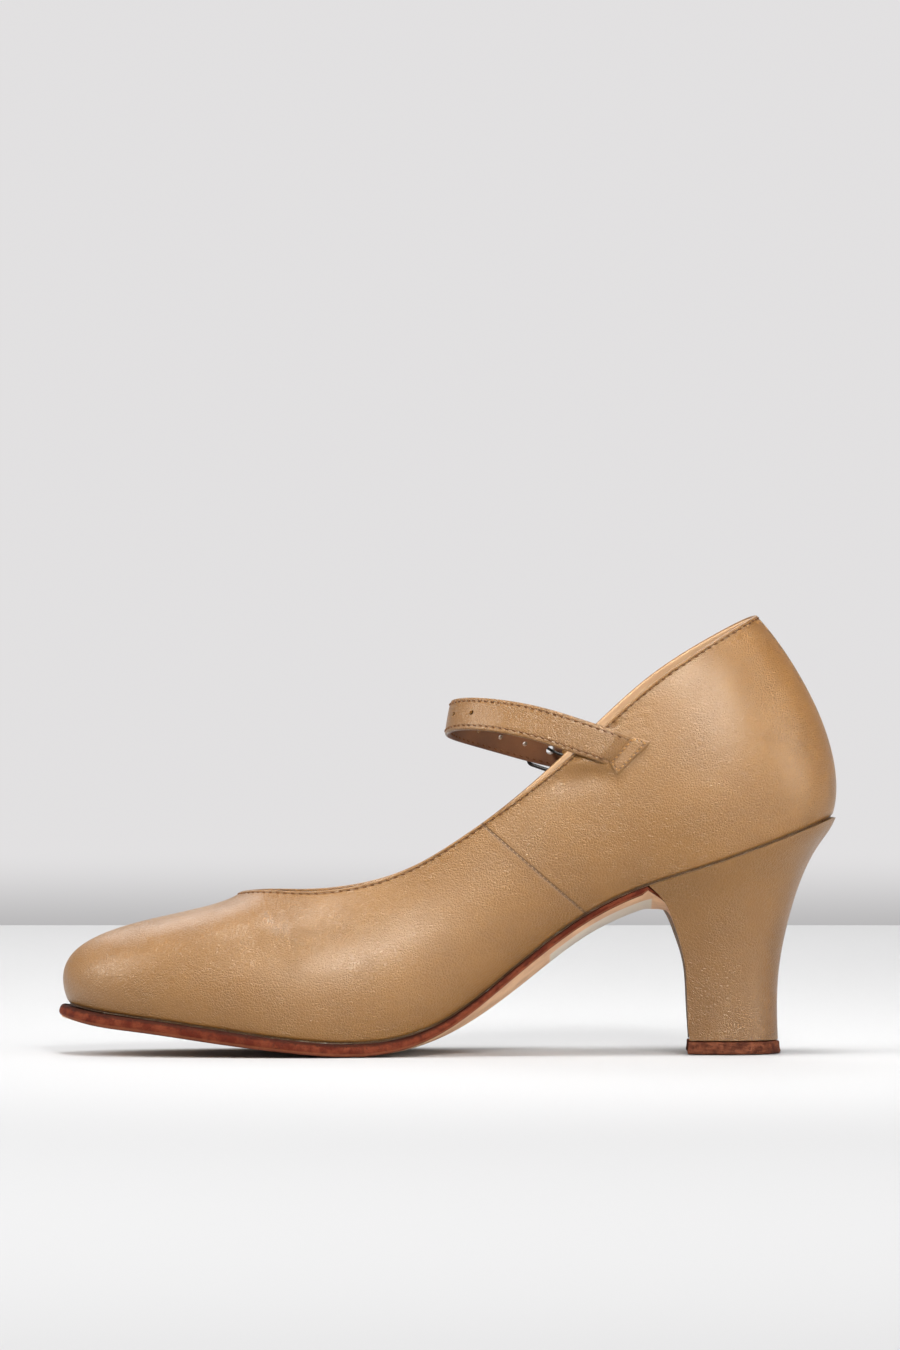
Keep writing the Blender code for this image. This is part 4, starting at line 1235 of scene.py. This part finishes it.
def make_strap(leather, lining):
    """The strap: a padded band with rounded edges, a lining and a row of punched holes."""
    curve, length, places = strap_columns()
    levels = strap_levels()
    s, w = np.meshgrid(places, levels, indexing="ij")
    gone = np.zeros(s.shape, bool)
    for k in HOLES:
        radius = HOLE_RADIUS if k else PRONG_HOLE_RADIUS
        s, w, inside = punch(s, w, buckle_place() - k * HOLE_PITCH, radius)
        gone |= inside
    half = STRAP_WIDTH / 2
    tip = np.array([0.0, 0.5, 1.2, 2.2, 3.4, 5.0]) * MM
    narrow = np.interp(length - s, tip, [0.50, 0.72, 0.86, 0.94, 0.985, 1.0])
    slant = math.tan(math.radians(STRAP_CUT)) * np.clip(1 - s / (12 * MM), 0, 1)
    flat = s.ravel()
    held = np.maximum(flat, STRAP_STEP)
    rows, ahead, behind = (curve.at(held + step) for step in (0, STRAP_STEP, -STRAP_STEP))
    run, up, out = band_frames((ahead - behind)[:, :3], rows[:, 3])
    share = np.abs(w.ravel()) / half
    round_off = (1 - np.clip(share, 0, 1) ** 9) ** (1 / 3)
    deep = STRAP_THICKNESS / 2
    stitched = np.exp(-((np.abs(w.ravel()) - (half - STRAP_STITCH_INSET)) / (0.35 * MM)) ** 2)
    wave = 0.05 * np.sin(flat / (5.3 * MM)) + 0.04 * np.sin(flat / (2.9 * MM) + 1.3)
    puff = (0.10 * (1 - share**2) + wave * (1 - share**4)) * MM - 0.10 * MM * stitched
    middle = rows[:, :3] + up * (w.ravel() * narrow.ravel())[:, None]
    middle = middle + run * (flat - held - w.ravel() * slant.ravel())[:, None]
    middle -= out * (STRAP_DIVE * np.clip(1 - (flat + STRAP_TUCK) / (5 * MM), 0, 1) ** 1.6)[:, None]
    front = middle + out * (deep * round_off + puff * round_off)[:, None]
    back = middle - out * (deep * round_off - 0.06 * MM * stitched)[:, None]
    total = s.size
    faces, finish = [], []
    rim = {}
    for a, b, c, d in grid_faces(*s.shape).tolist():
        if gone.flat[[a, b, c, d]].any():
            continue
        faces += [(a, b, c, d), (a + total, d + total, c + total, b + total)]
        finish += [0, 1]
        for start, end in ((a, b), (b, c), (c, d), (d, a)):
            if rim.pop((end, start), None) is None:
                rim[start, end] = True
    for a, b in rim:
        faces.append((b, a, a + total, b + total))
        finish.append(0)
    points = np.concatenate([front, back])
    keep = np.zeros(2 * total, bool)
    keep[np.array(faces)] = True
    faces = (np.cumsum(keep) - 1)[np.array(faces)]
    marks = {"across": np.tile(w.ravel() / MM, 2)[keep]}
    add_piece("strap_band", points[keep], faces, [leather, lining], ["strap"], finish,
              marks, 55)


def patch_place(a, b):
    """Places on the loop and shares up the wall at two shares of the patch, along it and up it."""
    corners = np.array(PATCH)
    b = b * (1 + PATCH_REACH)
    low = corners[0] * (1 - a[..., None]) + corners[1] * a[..., None]
    high = corners[3] * (1 - a[..., None]) + corners[2] * a[..., None]
    return low * (1 - b[..., None]) + high * b[..., None]


def patch_size():
    """The patch's length and height in metres."""
    ends = patch_place(np.array([0.0, 1.0, 0.5, 0.5]), np.array([0.5, 0.5, 0.0, 1.0]))
    points = wall(ends[:, 0], ends[:, 1])
    return np.linalg.norm(points[1] - points[0]), np.linalg.norm(points[3] - points[2])


def make_patch(leather):
    """The patch behind the slit, thin, with eased edges."""
    columns, rows = 41, 29
    a, b = np.meshgrid(np.linspace(0, 1, columns), np.linspace(0, 1, rows))
    place = patch_place(a, b)
    long, high = patch_size()
    rim = np.minimum(np.minimum(a, 1 - a) * long, np.minimum(b, 1 - b) * high) / MM
    q, v = place[..., 0].ravel(), place[..., 1].ravel()
    base, normal = wall(q, v), wall_normal(q, v)
    lift = PATCH_THICKNESS * (0.08 + 0.44 * np.clip(rim / 0.7, 0, 1) ** 0.6)
    lift -= 0.12 * MM * np.exp(-(((rim - PATCH_STITCH_INSET / MM) / 0.3) ** 2))
    low = base + normal * (2 * GAP)
    high_face = base + normal * (2 * GAP + lift.ravel()[:, None])
    total = rows * columns
    faces = grid_faces(rows, columns)
    under = faces[:, ::-1] + total
    edge = []
    grid = np.arange(total).reshape(rows, columns)
    loop = [*grid[0], *grid[1:, -1], *grid[-1, -2::-1], *grid[-2:0:-1, 0]]
    for here, ahead in zip(loop, loop[1:] + loop[:1]):
        edge.append((ahead, here, here + total, ahead + total))
    faces = np.concatenate([faces, under, edge])
    marks = {"rim": np.concatenate([rim.ravel(), rim.ravel() * 0])}
    add_piece("anchor_patch", np.concatenate([high_face, low]), faces, [leather],
              ["strap_anchor"], None, marks, 50)


def circles(centres, radius, side, other, count):
    """A ring of points round each centre, in the plane of the two directions there."""
    turn = np.linspace(0, 2 * math.pi, count + 1)[:-1][None, :, None]
    radius = np.broadcast_to(radius, len(centres))[:, None, None]
    return centres[:, None] + radius * (np.cos(turn) * side[:, None] + np.sin(turn) * other[:, None])


def tube_points(points, radius, sides, closed=False):
    """Rings of a round wire along points that lie near one plane."""
    points = np.asarray(points, float)
    if closed:
        run = unit(np.roll(points, -1, axis=0) - np.roll(points, 1, axis=0))
    else:
        run = unit(np.gradient(points, axis=0))
    flat = np.linalg.svd(points - points.mean(axis=0))[2][2]
    side = unit(flat - (run @ flat)[:, None] * run)
    return circles(points, radius, side, np.cross(run, side), sides)


def smoothed(points, count):
    """Points evenly along a smooth curve through these."""
    run = run_along(points)
    return Curve(run, points).at(np.linspace(0, run[-1], count))


def make_buckle(metal):
    """The wire frame round the strap and the prong through one of its holes."""
    middle, run, up, out, front, hinge = buckle_points()
    half = STRAP_WIDTH / 2 + 0.4 * MM + WIRE
    corner = 1.4 * MM
    turn = np.linspace(0, math.pi / 2, 10)
    loop = []
    for a, b, start in ((1, 1, 0), (-1, 1, 1), (-1, -1, 2), (1, -1, 3)):
        for angle in turn + start * math.pi / 2:
            t = a * (BUCKLE_REACH - corner) + corner * math.cos(angle)
            w = b * (half - corner) + corner * math.sin(angle)
            n = (hinge + front) / 2 + (hinge - front) / 2 * t / BUCKLE_REACH
            loop.append(middle + run * t + up * w + out * n)
    rings = tube_points(loop, WIRE, 20, closed=True)
    count, sides = rings.shape[:2]
    faces = grid_faces(count, sides, wrap_rows=True, wrap_columns=True)
    add_piece("buckle_wire", rings.reshape(-1, 3), faces, [metal], ["buckle_frame"], sharp=60)

    reach = WIRE + GAP + PRONG_WIRE
    path = []
    for angle in np.radians(np.linspace(80, -150, 10)):
        path.append((BUCKLE_REACH + reach * math.cos(angle), hinge + reach * math.sin(angle)))
    over = front + WIRE + GAP + PRONG_WIRE
    path += [(t * MM, n * MM) for t, n in PRONG_LINE]
    path += [(-3.0 * MM, over - 0.1 * MM), (-BUCKLE_REACH, over), (-BUCKLE_REACH - 0.8 * MM, over - 0.1 * MM)]
    line = smoothed([middle + run * t + out * n for t, n in path], PRONG_RINGS)
    along = np.linspace(0, 1, len(line))
    ends = np.interp(along, [0, 0.01, 0.03, 0.95, 0.985, 1], [0.3, 0.8, 1, 1, 0.85, 0.4])
    rings = tube_points(line, PRONG_WIRE * ends, 16)
    lofted_piece("buckle_pin", rings, [metal], ["buckle_prong"], 60)


def band_section(width, thickness):
    """Points round a flat band's cross-section with rounded edges: across its width, out of it."""
    half, deep = width / 2, thickness / 2
    flat = np.linspace(-(half - deep), half - deep, 9)
    turn = np.linspace(0, math.pi, 7)[1:-1]
    top = [(x, deep) for x in flat]
    right = [(half - deep + deep * math.sin(a), deep * math.cos(a)) for a in turn]
    bottom = [(x, -deep) for x in flat[::-1]]
    left = [(-(half - deep) - deep * math.sin(a), -deep * math.cos(a)) for a in turn]
    return np.array(top + right + bottom + left)


def make_tab(leather):
    """The loop of leather that holds the buckle to the lateral quarter."""
    middle, run, up, out, _, hinge = buckle_points()
    pin = middle + run * BUCKLE_REACH + out * hinge
    curve, length = strap_curve()
    rows = curve.at(np.linspace(length / 2, length, 400))
    slope = (rows[-1, 2] - pin[2]) / (rows[-1, 0] - pin[0])
    reach = WIRE + GAP + TAB_THICKNESS / 2
    points = [(x * MM, y * MM, pin[2] + slope * (x * MM - pin[0])) for x, y in TAB_LINE]
    for angle in np.radians(np.linspace(-120, -330, 11)):
        points.append(pin + reach * (math.cos(angle) * run + math.sin(angle) * out))
    points = smoothed(points, 120)
    line = unit(np.gradient(points, axis=0))
    lean = math.radians(7)
    quarter = np.array([0, math.sin(lean), math.cos(lean)])
    share = np.clip(np.arange(len(points)) / 60, 0, 1)[:, None]
    tip = quarter * (1 - share) + up * share
    tip = square_to(line, tip)
    face = np.cross(tip, line)
    section = band_section(TAB_WIDTH, TAB_THICKNESS)
    rings = points[:, None] + tip[:, None] * section[None, :, :1] + face[:, None] * section[None, :, 1:]
    lofted_piece("buckle_loop", rings, [leather], ["buckle_tab"], 60)


def stitch_mesh(points, normals, size):
    """Spindles laid along a line of points: faces and points of all the stitches of one row."""
    pitch, length, radius, slant = size
    run = run_along(points)
    curve = Curve(run, np.column_stack([points, normals]))
    count = max(1, round(run[-1] / pitch))
    places = (np.arange(count) + 0.5) * run[-1] / count
    t = np.linspace(-0.5, 0.5, 7)
    ends = np.arange(STITCH_SIDES)
    body = grid_faces(len(t), STITCH_SIDES, wrap_columns=True)
    made, faces = [], []
    for place in places:
        row = curve.at(place + t * length)
        line, normal = row[:, :3], unit(row[:, 3:])
        along = unit(np.gradient(line, axis=0))
        side = np.cross(along, normal)
        fat = radius * np.sqrt(np.clip(1 - (2 * t) ** 4, 0.05, 1))
        dip = STITCH_SINK + radius * 0.9 * np.abs(2 * t) ** 3
        centre = line + normal * (radius * 0.45 - dip)[:, None] + side * (t * length * slant)[:, None]
        start = len(made) * len(t) * STITCH_SIDES
        last = start + (len(t) - 1) * STITCH_SIDES
        made.append(circles(centre, fat, side, normal, STITCH_SIDES).reshape(-1, 3))
        faces += [*(start + body).tolist(), (start + ends[::-1]).tolist(), (last + ends).tolist()]
    return np.concatenate(made), faces


def add_stitches(name, rows, finish):
    """One piece for several rows of stitches."""
    points, faces, count = [], [], 0
    for row in rows:
        made, quads = stitch_mesh(*row)
        points.append(made)
        faces += [[k + count for k in quad] for quad in quads]
        count += len(made)
    add_piece(name, np.concatenate(points), faces, [finish], sharp=80)


def wall_line(q, v, lift=0.0):
    """Points on the upper's outer face, raised by lift, and the normals there."""
    base, normal = wall(q, v), wall_normal(q, v)
    return base + normal * lift, normal


def topline_rows():
    """The line of stitches that follows the topline."""
    q = np.linspace(0, 1, 900)
    levels, whole = depth_levels(q, lambda _, w: np.array([STITCH_INSET]))
    points, normal = wall_line(q, levels[:, 0])
    stand = leather_relief(points, np.full(len(q), STITCH_INSET), whole - STITCH_INSET)
    return [(points + normal * stand[:, None], normal, TOP_STITCH)]


def seam_line(side):
    """Points of the side seam on one side of the upper, from the topline down."""
    (x0, z0), (x1, z1) = SIDE_SEAM
    t = np.linspace(-0.06, 1.06, 160)
    goal = np.stack([x0 + (x1 - x0) * t, z0 + (z1 - z0) * t], axis=1) * MM
    q, v = np.meshgrid(np.linspace(0.14, 0.36, 221), np.linspace(0, 1, 121), indexing="ij")
    place = q.ravel() if side > 0 else 1 - q.ravel()
    cloud = wall(place, v.ravel())
    found = []
    for x, z in goal:
        away = (cloud[:, 0] - x) ** 2 + (cloud[:, 2] - z) ** 2
        near = away.argmin()
        if away[near] < (0.5 * MM) ** 2:
            found.append((place[near], v.ravel()[near], x, z))
    found = np.array(found)
    points, normal = wall_line(found[:, 0], found[:, 1])
    points[:, 0], points[:, 2] = found[:, 2], found[:, 3]
    return points, normal


def seam_rows():
    """The small stitches that show in each side seam."""
    rows = []
    for side in (1, -1):
        points, normal = seam_line(side)
        rows.append((points[6:-6] - normal[6:-6] * 0.08 * MM, normal[6:-6], SEAM_STITCH))
    return rows


def strap_rows():
    """Two rows of stitches along the strap, on its outside and again on its lining."""
    curve, length = strap_curve()
    places = np.linspace(2.5 * MM, length - 2.2 * MM, 500)
    rows = curve.at(places)
    run, up, out = band_frames(np.gradient(rows[:, :3], axis=0), rows[:, 3])
    made = []
    reach = STRAP_WIDTH / 2 - STRAP_STITCH_INSET
    slant = math.tan(math.radians(STRAP_CUT)) * np.clip(1 - places / (12 * MM), 0, 1)
    narrow = np.interp(length - places, [0.0, 2.2 * MM, 5 * MM], [0.6, 0.9, 1.0])
    for side in (-1, 1):
        line = rows[:, :3] + up * (side * reach * narrow)[:, None] - run * (side * reach * slant)[:, None]
        lift = STRAP_THICKNESS / 2
        made.append((line + out * (lift - 0.04 * MM), out, STRAP_STITCH))
        made.append((line - out * (lift - 0.04 * MM), -out, STRAP_STITCH))
    return made


def patch_rows():
    """A box of stitches round the patch."""
    long, high = patch_size()
    left, low = PATCH_STITCH_INSET / long, PATCH_STITCH_INSET / high
    corners = [(left, low), (1 - left, low), (1 - left, 1 - low), (left, 1 - low)]
    lift = 2 * GAP + 0.52 * PATCH_THICKNESS - 0.08 * MM
    rows = []
    for (a0, b0), (a1, b1) in zip(corners, corners[1:] + corners[:1]):
        t = np.linspace(-0.04, 1.04, 60)
        place = patch_place(a0 + (a1 - a0) * t, b0 + (b1 - b0) * t)
        rows.append((*wall_line(place[:, 0], place[:, 1], lift), PATCH_STITCH))
    return rows


def build_shoe():
    make_upper(upper_leather(), soft_lining("quarter_lining", LINING_TAN, (0.440, 0.275, 0.148)))
    make_insole(soft_lining("sock_leather", (0.52, 0.345, 0.195), (0.46, 0.295, 0.160), 0.7))
    make_outsole(sole_edge(), sole_under())
    # The heel cover is a darker copy of the tan leather, 0.92 of its tone, as painted shade.
    make_heel(plain_leather("heel_tan_leather", 0.92))
    make_top_lift(lift_leather())
    make_strap(strap_leather(), soft_lining("strap_lining", STRAP_LINING, (0.085, 0.036, 0.018), 0.6))
    make_patch(patch_leather())
    make_buckle(dark_metal())
    make_tab(plain_leather("loop_tan_leather"))
    brown = thread("brown_thread", THREAD_AND_SHADE_BROWN, (0.150, 0.068, 0.027))
    add_stitches("topline_stitches", topline_rows(), brown)
    add_stitches("strap_stitches", strap_rows(), brown)
    add_stitches("patch_stitches", patch_rows(), thread("gold_thread", THREAD_GOLD, (0.30, 0.15, 0.05)))
    add_stitches("seam_stitches", seam_rows(), thread("tan_thread", THREAD_TAN, (0.30, 0.17, 0.08)))


# The photograph's frame: 422 mm of height at the shoe, seen from 4 m away and a little above the floor
VIEW_HEIGHT = 0.4219
VIEW_DISTANCE = 4.0
VIEW_LIFT = 0.042
AIM = (-0.0005, 0.0, 0.1181)
SENSOR = 36.0

FLOOR_BACK = -1.333
FLOOR_FRONT = 3.4
FLOOR_SIDE = 3.2
FLOOR_DROP = 0.0002  # how far the floor lies under the shoe


def make_camera():
    camera = placed("camera", bpy.data.cameras.new("camera"))
    camera.data.sensor_width = SENSOR
    camera.data.lens = VIEW_DISTANCE * SENSOR / VIEW_HEIGHT
    camera.location = (AIM[0], AIM[1] + VIEW_DISTANCE, AIM[2] + VIEW_LIFT)
    turn_to(camera, AIM)
    camera.data.clip_start, camera.data.clip_end = 0.1, 60.0
    bpy.context.scene.camera = camera


def make_floor():
    """A plain pale floor that looks a little darker towards its far edge, painted paler towards the camera and
    towards its far edge than round the shoe as painted light where the lamps reach it less.
    """
    finish = Finish("pale_floor", roughness=0.75)
    where = finish.node("ShaderNodeTexCoord").outputs["Object"]
    depth = finish.node("ShaderNodeSeparateXYZ", {0: where}).outputs[1]
    # Painted light: the floor is paler towards the camera and towards its far edge, where the lamps reach it
    # less.
    near = finish.ease(depth, 0.3, 1.5)
    far = finish.ease(depth, -0.1, FLOOR_BACK)
    shade = finish.mix(near, (0.420, 0.420, 0.422), (0.670, 0.670, 0.672))
    finish.done(finish.mix(far, shade, (0.590, 0.590, 0.592)))
    mesh = bpy.data.meshes.new("floor")
    corners = [(x, y, -FLOOR_DROP) for x in (-FLOOR_SIDE, FLOOR_SIDE) for y in (FLOOR_BACK, FLOOR_FRONT)]
    mesh.from_pydata(corners, [], [(0, 2, 3, 1)])
    mesh.materials.append(finish.material)
    floor = placed("floor", mesh)


SKY = (  # brightness of the studio by height of the direction: wall, ceiling
    # height, brightness
    (-0.0345, 1.200),
    (-0.0315, 0.760),
    (0.0500, 0.760),
    (0.1400, 0.280),
    (1.0000, 0.280),
)
SKY_TINT = (1.0, 0.985, 0.992)
# Painted shade: the wall darkens just above the floor's far edge, at its foot.
WALL_FOOT = (-0.0313, -0.0241, 0.62, 1.0)  # between which heights the wall darkens downwards, and how far


def make_world():
    """A pale grey studio: an even wall, darker just where the floor ends as painted shade at its foot, and a
    dimmer ceiling.
    """
    world = bpy.data.worlds.new("studio")
    bpy.context.scene.world = world
    world.use_nodes = True
    tree = world.node_tree
    where = tree.nodes.new("ShaderNodeTexCoord")
    split = tree.nodes.new("ShaderNodeSeparateXYZ")
    half = tree.nodes.new("ShaderNodeMapRange")
    half.inputs[1].default_value = -1.0
    ramp = tree.nodes.new("ShaderNodeValToRGB")
    stops = ramp.color_ramp.elements
    while len(stops) < len(SKY):
        stops.new(0.5)
    for stop, (height, bright) in zip(stops, SKY):
        stop.position = (height + 1) / 2
        stop.color = (*(bright * part for part in SKY_TINT), 1)
    tree.links.new(where.outputs["Generated"], split.inputs[0])
    tree.links.new(split.outputs[2], half.inputs[0])
    tree.links.new(half.outputs[0], ramp.inputs[0])
    foot = tree.nodes.new("ShaderNodeMapRange")
    foot.interpolation_type = "SMOOTHSTEP"
    for number, value in enumerate(WALL_FOOT, 1):
        foot.inputs[number].default_value = value
    tree.links.new(split.outputs[2], foot.inputs[0])
    tree.links.new(ramp.outputs[0], tree.nodes["Background"].inputs["Color"])
    tree.links.new(foot.outputs[0], tree.nodes["Background"].inputs["Strength"])


LIGHTS = (  # soft square lights
    # name, place, size (m), power (W), aim, spread (degrees)
    ("key", (-0.05, 0.45, 2.70), 1.0, 70.0, (0, 0, 0.06), 180),
    ("back", (0.35, -2.60, 2.20), 1.8, 30.0, (0, 0, 0.06), 180),
    ("collar", (-0.25, 0.98, 0.66), 0.5, 0.90, (-0.080, 0.03, 0.120), 25),
    ("toe", (1.00, 0.20, 0.60), 0.7, 11.5, (0.08, 0, 0.03), 180),
    ("counter", (-1.00, 0.40, 0.34), 0.6, 6.5, (-0.1, 0, 0.08), 180),
)


def add_light(name, place, size, power, aim, spread):
    lamp = bpy.data.lights.new(name, "AREA")
    lamp.energy = power
    lamp.size = size
    lamp.spread = math.radians(spread)
    light = placed(name, lamp)
    light.location = place
    turn_to(light, aim)


build_shoe()
make_floor()
make_world()
make_camera()
for light in LIGHTS:
    add_light(*light)
bpy.context.scene.view_settings.view_transform = "Standard"
